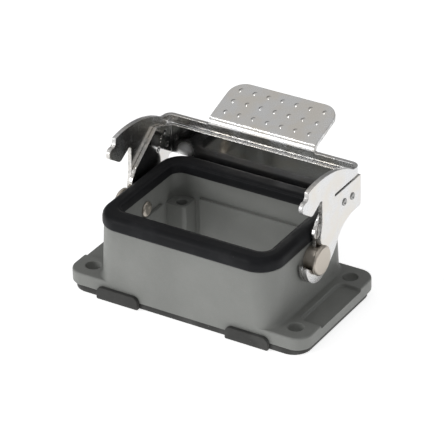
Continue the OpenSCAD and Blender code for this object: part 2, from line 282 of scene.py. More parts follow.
def rounded_outline(corners: Sequence[tuple[float, float, float]], steps: int = 7) -> np.ndarray:
    """A closed polygon with each corner rounded by its own radius.

    At a corner the tangent length is r tan(turn / 2) along both sides, and the arc sweeps the
    turn about a centre at r from both sides. A radius of 0 keeps the corner.

    Args:
        corners: (u, v, radius) in order.
        steps: segments in each arc.

    Returns:
        The loop, counterclockwise, without repeated points.
    """
    c = np.array(corners, float)
    p, r = c[:, :2], c[:, 2]
    into, out = p - np.roll(p, 1, 0), np.roll(p, -1, 0) - p
    li, lo = np.linalg.norm(into, axis=1), np.linalg.norm(out, axis=1)
    into, out = into / li[:, None], out / lo[:, None]
    turn = np.arctan2(into[:, 0] * out[:, 1] - into[:, 1] * out[:, 0], (into * out).sum(1))
    reach = np.minimum(np.abs(r * np.tan(turn / 2)), 0.49 * np.minimum(li, lo))
    r = reach / np.maximum(np.abs(np.tan(turn / 2)), 1e-9)
    side = np.sign(turn)
    left = np.stack([-into[:, 1], into[:, 0]], 1)
    centre = p - reach[:, None] * into + (side * r)[:, None] * left
    start = np.arctan2(-side * left[:, 1], -side * left[:, 0])
    a = start[:, None] + turn[:, None] * np.linspace(0, 1, steps + 1)
    arc = centre[:, None] + r[:, None, None] * np.stack([np.cos(a), np.sin(a)], -1)
    loop = arc.reshape(-1, 2)
    keep = np.linalg.norm(loop - np.roll(loop, 1, 0), axis=1) > 1e-4
    return loop[keep]


def resampled(loop: np.ndarray, step: float) -> np.ndarray:
    """The closed loop with extra points, so that no side is longer than step."""
    closed = np.vstack([loop, loop[:1]])
    run = np.append(0, np.cumsum(np.linalg.norm(np.diff(closed, axis=0), axis=1)))
    counts = np.ceil(np.diff(run) / step).astype(int)
    share = np.concatenate([np.arange(n) / n for n in counts])
    start = np.repeat(np.arange(len(loop)), counts)
    return closed[start] + (closed[start + 1] - closed[start]) * share[:, None]


def outward(loop: np.ndarray) -> np.ndarray:
    """Outward normals at a counterclockwise loop's points: both sides' sum over 1 + their cosine."""
    side = np.roll(loop, -1, 0) - loop
    side = side / np.linalg.norm(side, axis=1)[:, None]
    normal = np.stack([side[:, 1], -side[:, 0]], 1)
    before = np.roll(normal, 1, 0)
    return (normal + before) / np.maximum(1 + (normal * before).sum(1), 0.6)[:, None]


def inside(points: np.ndarray, loop: np.ndarray) -> np.ndarray:
    """Whether each point lies in the loop, by the number of sides crossed on the way out along +u."""
    a, b = loop, np.roll(loop, -1, 0)
    u, v = points[:, :1], points[:, 1:]
    spans = (a[:, 1] > v) != (b[:, 1] > v)
    rise = np.where(b[:, 1] == a[:, 1], 1.0, b[:, 1] - a[:, 1])
    cross = a[:, 0] + (v - a[:, 1]) * (b[:, 0] - a[:, 0]) / rise
    return ((spans & (u < cross)).sum(1) % 2).astype(bool)


def within(points: np.ndarray, loops: Sequence[np.ndarray]) -> np.ndarray:
    """Whether each point lies in the first loop and outside the others."""
    good = inside(points, loops[0])
    for hole in loops[1:]:
        good &= ~inside(points, hole)
    return good


def clear_of(points: np.ndarray, loops: Sequence[np.ndarray], gap: float) -> np.ndarray:
    """The points that lie within the loops and further than gap from every loop point."""
    points = points[within(points, loops)]
    near = np.sqrt(((points[:, None] - np.vstack(loops)[None]) ** 2).sum(-1)).min(1)
    return points[near > gap]


def filled(loops: Sequence[np.ndarray], extra: np.ndarray) -> np.ndarray:
    """Triangles over the area inside the first loop and outside the others.

    Args:
        loops: boundary loops; their points come first, in order.
        extra: further points inside, numbered after the loops' points.

    Returns:
        Counterclockwise triangles as indices into the stacked points.
    """
    points = np.vstack([*loops, extra])
    starts = np.cumsum([0] + [len(l) for l in loops])
    spans = [np.arange(a, b) for a, b in zip(starts[:-1], starts[1:])]
    sides = np.vstack([np.column_stack([span, np.roll(span, -1)]) for span in spans])
    _, _, faces, origin, _, _ = delaunay_2d_cdt([Vector(p) for p in points], sides.tolist(), [], 0, 1e-7)
    source = np.array([o[0] if o else -1 for o in origin])
    tri = source[np.array([f for f in faces if len(f) == 3])]
    tri = tri[(tri >= 0).all(1)]
    tri = tri[within(points[tri].mean(1), loops)]
    a, b, c = points[tri[:, 0]], points[tri[:, 1]], points[tri[:, 2]]
    area = (b[:, 0] - a[:, 0]) * (c[:, 1] - a[:, 1]) - (b[:, 1] - a[:, 1]) * (c[:, 0] - a[:, 0])
    tri[area < 0] = tri[area < 0][:, ::-1]
    return tri[np.abs(area) > 1e-9]


def bent_sheet(
    loops: Sequence[np.ndarray],
    place: Placement,
    thickness: float,
    soft: float,
    extra: np.ndarray,
    relief: Callable[[np.ndarray], np.ndarray],
) -> Shell:
    """A sheet-metal piece folded from its flat pattern.

    The blank is drawn flat, and place bends its middle surface into space. The two faces lie half
    a thickness to either side along the surface's normal, and the cut edge is a flat band between
    two quarter circles of radius soft.

    Args:
        loops: outline and holes of the blank, in flat coordinates.
        place: maps flat points to middle-surface points and unit normals.
        thickness: sheet thickness.
        soft: rounding of the cut edge.
        extra: inner points that let the bends and pressed marks take shape.
        relief: height that pressing adds along the normal at flat points.

    Returns:
        The closed shell.
    """
    loops = [l if i == 0 else l[::-1] for i, l in enumerate(loops)]
    normals = [outward(l) for l in loops]
    half = thickness / 2
    top = [(-soft - 0.15, half, 0.0), *[(x, z, 1.0) for x, z in quarter(-soft, half - soft, -soft, 0, 4)]]
    section = top + [(x, -z, e) for x, z, e in top[::-1]]
    rings = [np.vstack([l + x * n for l, n in zip(loops, normals)]) for x, _, _ in section]
    starts = np.cumsum([0] + [len(l) for l in loops])
    spans = list(zip(starts[:-1], starts[1:]))
    rim, rows = int(starts[-1]), len(section)
    # filled() takes the hole loops counterclockwise, so their indices are turned back
    turned = [np.arange(a, b)[:: 1 if a == 0 else -1] for a, b in spans]
    order = np.concatenate([*turned, np.arange(rim, rim + len(extra))])
    caps = order[filled([rings[0][t] for t in turned], extra)]

    def layer(uv: np.ndarray, height: float) -> np.ndarray:
        """The points at that height over the middle surface."""
        p, n = place(uv)
        return p + n * (height + relief(uv))[:, None]

    points = [layer(uv, z) for uv, (_, z, _) in zip(rings, section)]
    points += [layer(extra, half), layer(extra, -half)]
    edge = np.concatenate([np.full(rim, e) for _, _, e in section] + [np.zeros(2 * len(extra))])
    quads = []
    for a, b in spans:
        strip = strip_faces(rows, b - a, False)
        quads.append(strip // (b - a) * rim + strip % (b - a) + a)
    over = np.where(caps < rim, caps, caps - rim + rows * rim)
    under = np.where(caps < rim, caps + (rows - 1) * rim, caps - rim + rows * rim + len(extra))
    triangles = np.vstack([over, under[:, ::-1]])
    pattern = np.vstack([*rings, extra, extra])
    return Shell(np.vstack(points), np.vstack(quads)[:, ::-1], triangles, edge, pattern)


def to_object(name: str, shell: Shell, merge: float = 1e-4) -> Piece:
    """Puts a shell into a mesh object at the origin, in metres.

    Args:
        name: the piece's name.
        shell: the surface, in millimetres.
        merge: distance in millimetres under which points become one.

    Returns:
        The object, with its edge mask as the attribute "edge" and its flat pattern as a UV map.
    """
    mesh = bpy.data.meshes.new(name)
    quads, tris = shell.quads, shell.triangles
    mesh.vertices.add(len(shell.points))
    mesh.vertices.foreach_set("co", (shell.points * MM).astype(np.float32).ravel())
    corners = np.concatenate([quads.ravel(), tris.ravel()]).astype(np.int32)
    starts = np.concatenate([np.arange(len(quads)) * 4, len(quads) * 4 + np.arange(len(tris)) * 3])
    mesh.loops.add(len(corners))
    mesh.loops.foreach_set("vertex_index", corners)
    mesh.polygons.add(len(starts))
    mesh.polygons.foreach_set("loop_start", starts.astype(np.int32))
    mesh.update(calc_edges=True)
    if shell.edge is not None:
        mask = mesh.attributes.new("edge", "FLOAT", "POINT")
        mask.data.foreach_set("value", shell.edge.astype(np.float32))
    if shell.flat is not None:
        layer = mesh.uv_layers.new(name="flat_pattern")
        layer.data.foreach_set("uv", (shell.flat[corners] * 0.01).astype(np.float32).ravel())
    mesh.validate()
    work = bmesh.new()
    work.from_mesh(mesh)
    bmesh.ops.remove_doubles(work, verts=work.verts, dist=merge * MM)
    bmesh.ops.dissolve_degenerate(work, edges=work.edges, dist=merge * MM)
    bmesh.ops.recalc_face_normals(work, faces=work.faces)
    work.to_mesh(mesh)
    work.free()
    made = bpy.data.objects.new(name, mesh)
    bpy.context.scene.collection.objects.link(made)
    return made


def baked(piece: Piece) -> Piece:
    """Applies a piece's modifiers to its mesh."""
    graph = bpy.context.evaluated_depsgraph_get()
    shaped = piece.evaluated_get(graph)
    mesh = bpy.data.meshes.new_from_object(shaped, preserve_all_data_layers=True, depsgraph=graph)
    piece.modifiers.clear()
    piece.data = mesh
    mesh.name = piece.name
    return piece


def machined(piece: Piece, tool: Shell, how: Cut) -> Piece:
    """Adds a closed shell to a piece, or takes it away.

    Args:
        piece: the object to change.
        tool: one or more closed shells that don't overlap each other.
        how: add or remove.

    Returns:
        The same object with its new mesh.
    """
    other = to_object(piece.name + "_tool", tool)
    step = piece.modifiers.new("machining", "BOOLEAN")
    step.operation, step.solver, step.object = how.value, "EXACT", other
    bpy.context.view_layer.update()
    baked(piece)
    bpy.data.objects.remove(other)
    return piece


def smoothed(piece: Piece, sharp: float = 40.0) -> Piece:
    """Smooth shading with normals weighted by face area, and edges sharper than an angle kept crisp."""
    piece.data.shade_smooth()
    piece.data.set_sharp_from_angle(angle=math.radians(sharp))
    step = piece.modifiers.new("weighted", "WEIGHTED_NORMAL")
    step.mode, step.weight, step.keep_sharp = "FACE_AREA", 50, True
    bpy.context.view_layer.update()
    return baked(piece)


def fitted(piece: Piece, body: str, slot: str, finish: bpy.types.Material, *nodes: str) -> Piece:
    """Gives a finished piece its material, its body and the CAD nodes that it stands for.

    Args:
        piece: the piece, in place.
        body: the CAD body that it rides on.
        slot: a material slot name; not used.
        finish: its material.
        nodes: CAD nodes that it replaces.

    Returns:
        The piece.
    """
    piece.data.materials.clear()
    piece.data.materials.append(finish)
    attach(piece, body)
    if nodes:
        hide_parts(*nodes)
    triangles = int(sum(len(p.vertices) - 2 for p in piece.data.polygons))
    LOG.info("%s rides on %s with %d triangles", piece.name, body, triangles)
    return piece


# ---- Finishes -------------------------------------------------------------------------------


@dataclass
class Graph:
    """A node tree with short ways to add and join nodes."""

    tree: bpy.types.NodeTree

    def add(self, kind: str, **settings: object) -> Node:
        """A new node of that kind with its settings made; one named in0, in1 and so on fills that input."""
        node = self.tree.nodes.new(kind)
        for name, value in settings.items():
            if name.startswith("in") and name[2:].isdigit():
                node.inputs[int(name[2:])].default_value = value
            else:
                setattr(node, name, value)
        return node

    def link(self, source: object, target: Socket) -> None:
        """Joins an output to an input, or sets the input to a number or a colour."""
        if isinstance(source, Socket):
            self.tree.links.new(source, target)
        else:
            target.default_value = (*source, 1.0) if isinstance(source, tuple) else source

    def math(self, operation: str, a: object, b: object = 0.0, clamp: bool = False) -> Socket:
        """The result of a Math node on two sockets or numbers."""
        node = self.add("ShaderNodeMath", operation=operation, use_clamp=clamp)
        self.link(a, node.inputs[0])
        self.link(b, node.inputs[1])
        return node.outputs[0]

    def times(self, a: object, b: object, clamp: bool = False) -> Socket:
        """a times b."""
        return self.math("MULTIPLY", a, b, clamp)

    def plus(self, a: object, b: object) -> Socket:
        """a plus b."""
        return self.math("ADD", a, b)

    def length(self, a: Socket, b: Socket) -> Socket:
        """The square root of a squared plus b squared."""
        return self.math("SQRT", self.plus(self.times(a, a), self.times(b, b)))

    def split(self, where: Socket) -> tuple[Socket, Socket, Socket]:
        """The x, y and z of a vector."""
        node = self.add("ShaderNodeSeparateXYZ")
        self.link(where, node.inputs[0])
        return node.outputs[0], node.outputs[1], node.outputs[2]

    def place(self) -> Socket:
        """The place on the piece, in metres."""
        return self.add("ShaderNodeTexCoord").outputs["Object"]

    def ramp(self, value: Socket, low: float, high: float, a: float = 0.0, b: float = 1.0) -> Socket:
        """The value mapped smoothly from low..high to a..b."""
        ends = {"in1": low, "in2": high, "in3": a, "in4": b}
        node = self.add("ShaderNodeMapRange", interpolation_type="SMOOTHSTEP", **ends)
        self.link(value, node.inputs[0])
        return node.outputs[0]

    def mix(self, share: object, a: object, b: object) -> Socket:
        """A colour mixed from a to b by share; each is a socket or a value."""
        node = self.add("ShaderNodeMix", data_type="RGBA")
        for place, value in ((0, share), (6, a), (7, b)):
            self.link(value, node.inputs[place])
        return node.outputs[2]

    def noise(self, where: Socket, scale: object, detail: float = 3.0, rough: float = 0.5) -> Socket:
        """The factor of a Noise Texture at that place; scale is a socket or a number."""
        node = self.add("ShaderNodeTexNoise")
        for name, value in (("Vector", where), ("Scale", scale), ("Detail", detail), ("Roughness", rough)):
            self.link(value, node.inputs[name])
        return node.outputs[0]

    def cells(self, where: Socket, scale: object, feature: str) -> Socket:
        """The distance to a cell's middle in a Voronoi Texture."""
        node = self.add("ShaderNodeTexVoronoi", feature=feature)
        self.link(where, node.inputs["Vector"])
        self.link(scale, node.inputs["Scale"])
        return node.outputs["Distance"]


class Effect(Enum):
    """Shader node groups that more than one finish uses."""

    GRAIN = "fine_grain"
    EDGE_HIGHLIGHT_AND_SHEAR = "edge_light"
    DUST = "settled_dust"
    ROLLED = "rolled_sheet"


NUMBER, COLOUR = "NodeSocketFloat", "NodeSocketColor"


def new_group(
    effect: Effect, inputs: dict[str, object], outputs: dict[str, str]
) -> tuple[Graph, bpy.types.NodeOutputs, bpy.types.NodeInputs]:
    """An empty shader node group with named sockets.

    Args:
        effect: gives the group its name.
        inputs: socket names with a default number, a colour, or None for a vector.
        outputs: socket names with their socket types.

    Returns:
        The group's graph, what enters it and what leaves it.
    """
    tree = bpy.data.node_groups.new(effect.value, "ShaderNodeTree")
    for name, value in inputs.items():
        kind = "NodeSocketVector" if value is None else COLOUR if isinstance(value, tuple) else NUMBER
        socket = tree.interface.new_socket(name=name, in_out="INPUT", socket_type=kind)
        if value is not None:
            socket.default_value = (*value, 1.0) if isinstance(value, tuple) else value
    for name, kind in outputs.items():
        tree.interface.new_socket(name=name, in_out="OUTPUT", socket_type=kind)
    graph = Graph(tree)
    return graph, graph.add("NodeGroupInput").outputs, graph.add("NodeGroupOutput").inputs


def send_tint(graph: Graph, share: Socket, base: Socket, other: Socket, leave: bpy.types.NodeInputs) -> None:
    """Sends the base colour, mixed towards the other by share, to Color, and the share to Mask."""
    graph.link(graph.mix(share, base, other), leave["Color"])
    graph.link(share, leave["Mask"])


def build_grain() -> None:
    """Fine grain: two noises and rounded cells as a height, and a slow mottle as a mask."""
    graph, entry, leave = new_group(
        Effect.GRAIN, {"Place": None, "Scale": 1000.0, "Cells": 0.4}, {"Height": NUMBER, "Mottle": NUMBER}
    )
    place, scale = entry["Place"], entry["Scale"]
    fine = graph.noise(place, graph.times(scale, 2.3), 4.0)
    slow = graph.noise(place, graph.times(scale, 0.45), 2.0)
    grain = graph.plus(graph.times(fine, 0.6), graph.times(slow, 0.4))
    pits = graph.times(graph.cells(place, scale, "SMOOTH_F1"), entry["Cells"])
    graph.link(graph.plus(grain, pits), leave["Height"])
    graph.link(graph.noise(place, graph.times(scale, 0.035), 5.0), leave["Mottle"])


def build_edge_highlight_and_shear() -> None:
    """Edges tinted by the mesh's edge mask, broken up by noise: a lighter edge colour paints a highlight, the
    plated sheet's darker one is its sheared edge.
    """
    graph, entry, leave = new_group(
        Effect.EDGE_HIGHLIGHT_AND_SHEAR,
        {"Place": None, "Base": (0.5, 0.5, 0.5), "Edge": (0.8, 0.8, 0.8), "Amount": 0.5},
        {"Color": COLOUR, "Mask": NUMBER},
    )
    mask = graph.ramp(graph.add("ShaderNodeAttribute", attribute_name="edge").outputs["Fac"], 0.25, 1.0)
    broken = graph.ramp(graph.noise(entry["Place"], 900.0, 4.0), 0.3, 0.7)
    share = graph.times(graph.times(mask, broken), entry["Amount"], True)
    send_tint(graph, share, entry["Base"], entry["Edge"], leave)


def build_dust() -> None:
    """Settled dust: sparse specks and soft patches mix a colour towards dust and say where it lies."""
    graph, entry, leave = new_group(
        Effect.DUST,
        {"Place": None, "Base": (0.5, 0.5, 0.5), "Dust": (0.45, 0.44, 0.42), "Amount": 0.2},
        {"Color": COLOUR, "Mask": NUMBER},
    )
    place = entry["Place"]
    patches = graph.ramp(graph.noise(place, 90.0, 6.0, 0.6), 0.45, 0.75)
    dots = graph.ramp(graph.cells(place, 700.0, "F1"), 0.18, 0.05)
    thin = graph.ramp(graph.noise(place, 260.0, 2.0), 0.52, 0.6)
    share = graph.plus(graph.times(patches, 0.5), graph.times(dots, thin))
    send_tint(graph, graph.times(share, entry["Amount"], True), entry["Base"], entry["Dust"], leave)


def build_rolled() -> None:
    """Rolled and plated sheet: streaks along the blank, a crystalline mottle and a slow waviness."""
    graph, entry, leave = new_group(
        Effect.ROLLED,
        {"Flat": None, "Streak": 1.0, "Mottle": 1.0},
        {"Height": NUMBER, "Streaks": NUMBER, "Clouds": NUMBER},
    )
    along = graph.add("ShaderNodeMapping")
    along.inputs["Scale"].default_value = (6.0, 260.0, 1.0)
    graph.link(entry["Flat"], along.inputs["Vector"])
    streaks = graph.noise(along.outputs[0], 6.0, 5.0, 0.6)
    spangle = graph.noise(entry["Flat"], 260.0, 6.0, 0.65)
    height = graph.plus(graph.times(streaks, entry["Streak"]), graph.times(spangle, entry["Mottle"]))
    graph.link(height, leave["Height"])
    graph.link(streaks, leave["Streaks"])
    graph.link(graph.noise(entry["Flat"], 14.0, 4.0, 0.55), leave["Clouds"])


@dataclass(frozen=True)
class Finish:
    """A material with its own name and plain numbers; each kind adds its surface in paint()."""

    name: str
    colour: Colour
    roughness: float

    def tone(self, share: float) -> Colour:
        """The finish's colour, darker or lighter by a share."""
        return tuple(c * share for c in self.colour)

    def material(self) -> bpy.types.Material:
        """The Blender material, built once."""
        made = bpy.data.materials.get(self.name)
        if made:
            return made
        made = bpy.data.materials.new(self.name)
        made.use_nodes = True
        made.diffuse_color = (*self.colour, 1.0)
        graph = Graph(made.node_tree)
        shader = made.node_tree.nodes["Principled BSDF"]
        shader.inputs["Roughness"].default_value = self.roughness
        self.paint(graph, shader)
        return made

    def paint(self, graph: Graph, shader: Node) -> None:
        """Fills in the Principled shader's colour, roughness and normal."""
        raise NotImplementedError

    @staticmethod
    def effect(graph: Graph, which: Effect, **values: object) -> bpy.types.NodeOutputs:
        """A shared effect group placed in the material, its inputs given as sockets or values."""
        node = graph.add("ShaderNodeGroup", node_tree=bpy.data.node_groups[which.value])
        for name, value in values.items():
            graph.link(value, node.inputs[name])
        return node.outputs

    @staticmethod
    def bumped(graph: Graph, shader: Node, height: Socket, distance: float, strength: float) -> None:
        """Sends a height through a Bump node to the shader's normal; distance is in metres."""
        bump = graph.add("ShaderNodeBump")
        for name, value in (("Strength", strength), ("Distance", distance), ("Height", height)):
            graph.link(value, bump.inputs[name])
        graph.link(bump.outputs[0], shader.inputs["Normal"])

    def roughen(
        self, graph: Graph, shader: Node, value: Socket,
        span: tuple[float, float], change: tuple[float, float],
    ) -> None:
        """Sets the roughness to the finish's own plus a change that follows a value over a span."""
        low, high = (self.roughness + c for c in change)
        graph.link(graph.ramp(value, *span, low, high), shader.inputs["Roughness"])


@dataclass(frozen=True)
class PowderCoat(Finish):
    """Satin powder coat over a die casting: fine grain, orange peel, faint clouds and a painted highlight on
    the edges.
    """

    grain_scale: float = 1500.0
    grain_depth: float = 0.00003

    def paint(self, graph: Graph, shader: Node) -> None:
        """Fills in the powder coat."""
        place = graph.place()
        grain = self.effect(graph, Effect.GRAIN, Place=place, Scale=self.grain_scale, Cells=0.35)
        cloudy = graph.mix(graph.ramp(grain["Mottle"], 0.35, 0.65), self.tone(0.93), self.tone(1.06))
        speck = graph.ramp(graph.noise(place, 5200.0, 2.0), 0.35, 0.7)
        speckled = graph.mix(graph.times(speck, 0.25), cloudy, self.tone(1.25))
        # painted highlight: edges and ledge tops lightened towards 1.9 times the coat's colour
        edge_highlight_and_shear = self.effect(graph, Effect.EDGE_HIGHLIGHT_AND_SHEAR, Place=place, Base=speckled, Edge=self.tone(1.9), Amount=0.8)
        dusty = self.effect(
            graph, Effect.DUST, Place=place, Base=edge_highlight_and_shear["Color"], Dust=(0.42, 0.42, 0.4), Amount=0.12
        )
        graph.link(dusty["Color"], shader.inputs["Base Color"])
        shader.inputs["Specular IOR Level"].default_value = 0.35
        self.roughen(graph, shader, grain["Height"], (0.3, 0.9), (-0.06, 0.1))
        peel = graph.plus(grain["Height"], graph.times(graph.noise(place, 420.0, 2.0), 1.4))
        self.bumped(graph, shader, peel, self.grain_depth, 0.8)


@dataclass(frozen=True)
class MouldedRubber(Finish):
    """Moulded rubber: fine matt grain, chalky patches, a soft sheen and a painted highlight on the edges."""

    sheen: float = 0.15
    dust: float = 0.3
    specular: float = 0.3

    def paint(self, graph: Graph, shader: Node) -> None:
        """Fills in the rubber."""
        place = graph.place()
        grain = self.effect(graph, Effect.GRAIN, Place=place, Scale=2600.0, Cells=0.2)
        cloudy = graph.mix(graph.ramp(grain["Mottle"], 0.3, 0.7), self.tone(0.82), self.tone(1.22))
        # painted highlight: the rubber's edges lightened towards 1.9 times its colour
        edge_highlight_and_shear = self.effect(graph, Effect.EDGE_HIGHLIGHT_AND_SHEAR, Place=place, Base=cloudy, Edge=self.tone(1.9), Amount=0.5)
        dusty = self.effect(
            graph, Effect.DUST, Place=place, Base=edge_highlight_and_shear["Color"], Dust=(0.2, 0.2, 0.195), Amount=self.dust
        )
        graph.link(dusty["Color"], shader.inputs["Base Color"])
        self.roughen(graph, shader, grain["Mottle"], (0.25, 0.75), (-0.07, 0.09))
        shader.inputs["Specular IOR Level"].default_value = self.specular
        shader.inputs["Sheen Weight"].default_value = self.sheen
        shader.inputs["Sheen Roughness"].default_value = 0.5
        self.bumped(graph, shader, grain["Height"], 0.000018, 0.7)


@dataclass(frozen=True)
class PlatedSheet(Finish):
    """Zinc-plated pressed sheet: rolling streaks, plating clouds, a crystalline mottle, bright edges, a
    painted shade line and a painted highlight.

    The crevice is the y and z of the painted shade line between both sheets. A painted highlight is an
    ellipse given by the x and z of its middle and by its half sizes. All are in metres.
    """

    streak: float = 1.0
    mottle: float = 1.0
    depth: float = 0.000006
    sheared: Colour = (0.5, 0.495, 0.485)
    warm: Colour = (1.0, 0.95, 0.875)
    crevice: tuple[float, float] = (0.02312, 0.0372)
    painted_highlight_strength: float = 0.0
    highlight_middle: tuple[float, float] = (0.0258, 0.0298)
    highlight_size: tuple[float, float] = (0.0052, 0.0042)

    def paint(self, graph: Graph, shader: Node) -> None:
        """Fills in the plated sheet."""
        shader.inputs["Metallic"].default_value = 1.0
        flat = graph.add("ShaderNodeUVMap", uv_map="flat_pattern").outputs[0]
        place = graph.place()
        rolled = self.effect(graph, Effect.ROLLED, Flat=flat, Streak=self.streak, Mottle=self.mottle)
        warm = tuple(c * k for c, k in zip(self.colour, self.warm))
        cloudy = graph.mix(graph.ramp(rolled["Clouds"], 0.35, 0.65), warm, self.colour)
        streaked = graph.mix(graph.ramp(rolled["Streaks"], 0.35, 0.7, 0.0, 0.35), cloudy, self.tone(0.86))
        # edge colour here is the darker sheared cut edge, not a highlight
        edge_highlight_and_shear = self.effect(graph, Effect.EDGE_HIGHLIGHT_AND_SHEAR, Place=place, Base=streaked, Edge=self.sheared, Amount=0.9)
        # painted highlight (mark, pressed): a near-white, rougher ellipse near each end of the spring's back,
        # where a reflection falls
        mark = graph.times(self.painted_highlight_mask(graph, place), self.painted_highlight_strength)
        pressed = graph.mix(mark, edge_highlight_and_shear["Color"], (0.95, 0.95, 0.95))
        # painted shade: a near-black line in the crevice where the spring's top edge meets the lever's strip
        crevice_painted_shade = graph.mix(self.painted_crevice_shade_mask(graph, place), pressed, (0.03, 0.03, 0.03))
        graph.link(crevice_painted_shade, shader.inputs["Base Color"])
        rough = graph.ramp(rolled["Height"], 0.6, 1.4, self.roughness - 0.05, self.roughness + 0.07)
        cloudy_rough = graph.plus(rough, graph.ramp(rolled["Clouds"], 0.4, 0.7, -0.03, 0.04))
        edge_and_highlight_roughness = graph.plus(graph.times(edge_highlight_and_shear["Mask"], 0.3), graph.times(mark, 0.42))
        graph.link(graph.plus(cloudy_rough, edge_and_highlight_roughness), shader.inputs["Roughness"])
        self.bumped(graph, shader, rolled["Height"], self.depth, 0.5)

    def painted_highlight_mask(self, graph: Graph, place: Socket) -> Socket:
        """1 in the middle of each painted highlight near the back's ends, fading to 0 at its ellipse."""
        x, y, z = graph.split(place)
        ways = zip((graph.math("ABSOLUTE", x), z), self.highlight_middle, self.highlight_size)
        across, up = (
            graph.math("DIVIDE", graph.math("SUBTRACT", way, middle), half) for way, middle, half in ways
        )
        return graph.times(graph.ramp(graph.length(across, up), 1.0, 0.0), graph.ramp(y, 0.02, 0.021))

    def painted_crevice_shade_mask(self, graph: Graph, place: Socket) -> Socket:
        """1 in the painted shade line where the spring's top edge meets the lever's strip, clear of the arms.
        """
        x, y, z = graph.split(place)
        line_y, line_z = self.crevice
        deep = graph.ramp(y, line_y - 0.0003, line_y + 0.0001)
        level = graph.times(
            graph.ramp(z, line_z - 0.0005, line_z - 0.0002), graph.ramp(z, line_z + 0.0003, line_z)
        )
        middle = graph.ramp(graph.math("ABSOLUTE", x), 0.031, 0.029)
        return graph.times(graph.times(deep, level), middle)


@dataclass(frozen=True)
class TurnedMetal(Finish):
    """Turned and plated pin: rings of tool marks about the pin's axis, small nicks and a painted highlight on
    its edges.
    """

    ring_scale: float = 3800.0
    axis_height: float = PIVOT_HEIGHT * MM

    def paint(self, graph: Graph, shader: Node) -> None:
        """Fills in the turned metal; rings follow the distance from the pin's axis and the place along it."""
        shader.inputs["Metallic"].default_value = 1.0
        place = graph.place()
        x, y, z = graph.split(place)
        radius = graph.length(y, graph.math("SUBTRACT", z, self.axis_height))
        along = graph.add("ShaderNodeCombineXYZ")
        graph.link(graph.times(radius, self.ring_scale), along.inputs[0])
        graph.link(graph.times(x, self.ring_scale), along.inputs[1])
        rings = graph.noise(along.outputs[0], 1.6, 3.0, 0.6)
        clouds = graph.noise(place, 420.0, 4.0, 0.6)
        tint = graph.mix(graph.ramp(clouds, 0.35, 0.65), self.tone(0.88), self.colour)
        # painted highlight: the pin's edges lightened towards a pale warm grey
        edge_highlight_and_shear = self.effect(graph, Effect.EDGE_HIGHLIGHT_AND_SHEAR, Place=place, Base=tint, Edge=(0.85, 0.83, 0.8), Amount=0.6)
        graph.link(edge_highlight_and_shear["Color"], shader.inputs["Base Color"])
        self.roughen(graph, shader, clouds, (0.3, 0.7), (-0.05, 0.08))
        height = graph.plus(rings, graph.times(graph.noise(place, 1500.0, 3.0), 0.8))
        self.bumped(graph, shader, height, 0.00001, 0.5)


CASTING_GREY = PowderCoat("powder_coat_grey", (0.215, 0.22, 0.208), 0.42)
SEAL_RUBBER = MouldedRubber(
    "seal_rubber_slate", (0.0085, 0.009, 0.0105), 0.5, sheen=0.02, dust=0.1, specular=0.13
)
GASKET_RUBBER = MouldedRubber("gasket_rubber_black", (0.036, 0.036, 0.034), 0.62, sheen=0.1, dust=0.4)
LEVER_ZINC = PlatedSheet("zinc_plated_lever", (0.74, 0.745, 0.75), 0.24)
# the spring bail carries the painted highlight on its back
SPRING_STEEL = PlatedSheet(
    "bright_spring_sheet", (0.66, 0.665, 0.67), 0.17, streak=0.6, mottle=0.5, depth=0.000004, painted_highlight_strength=1.0
)
PIN_NICKEL = TurnedMetal("nickel_plated_pin", (0.5, 0.465, 0.41), 0.15)
RIVET_STEEL = TurnedMetal("rivet_steel", (0.4, 0.4, 0.395), 0.2)


# ---- Sub-assemblies -------------------------------------------------------------------------


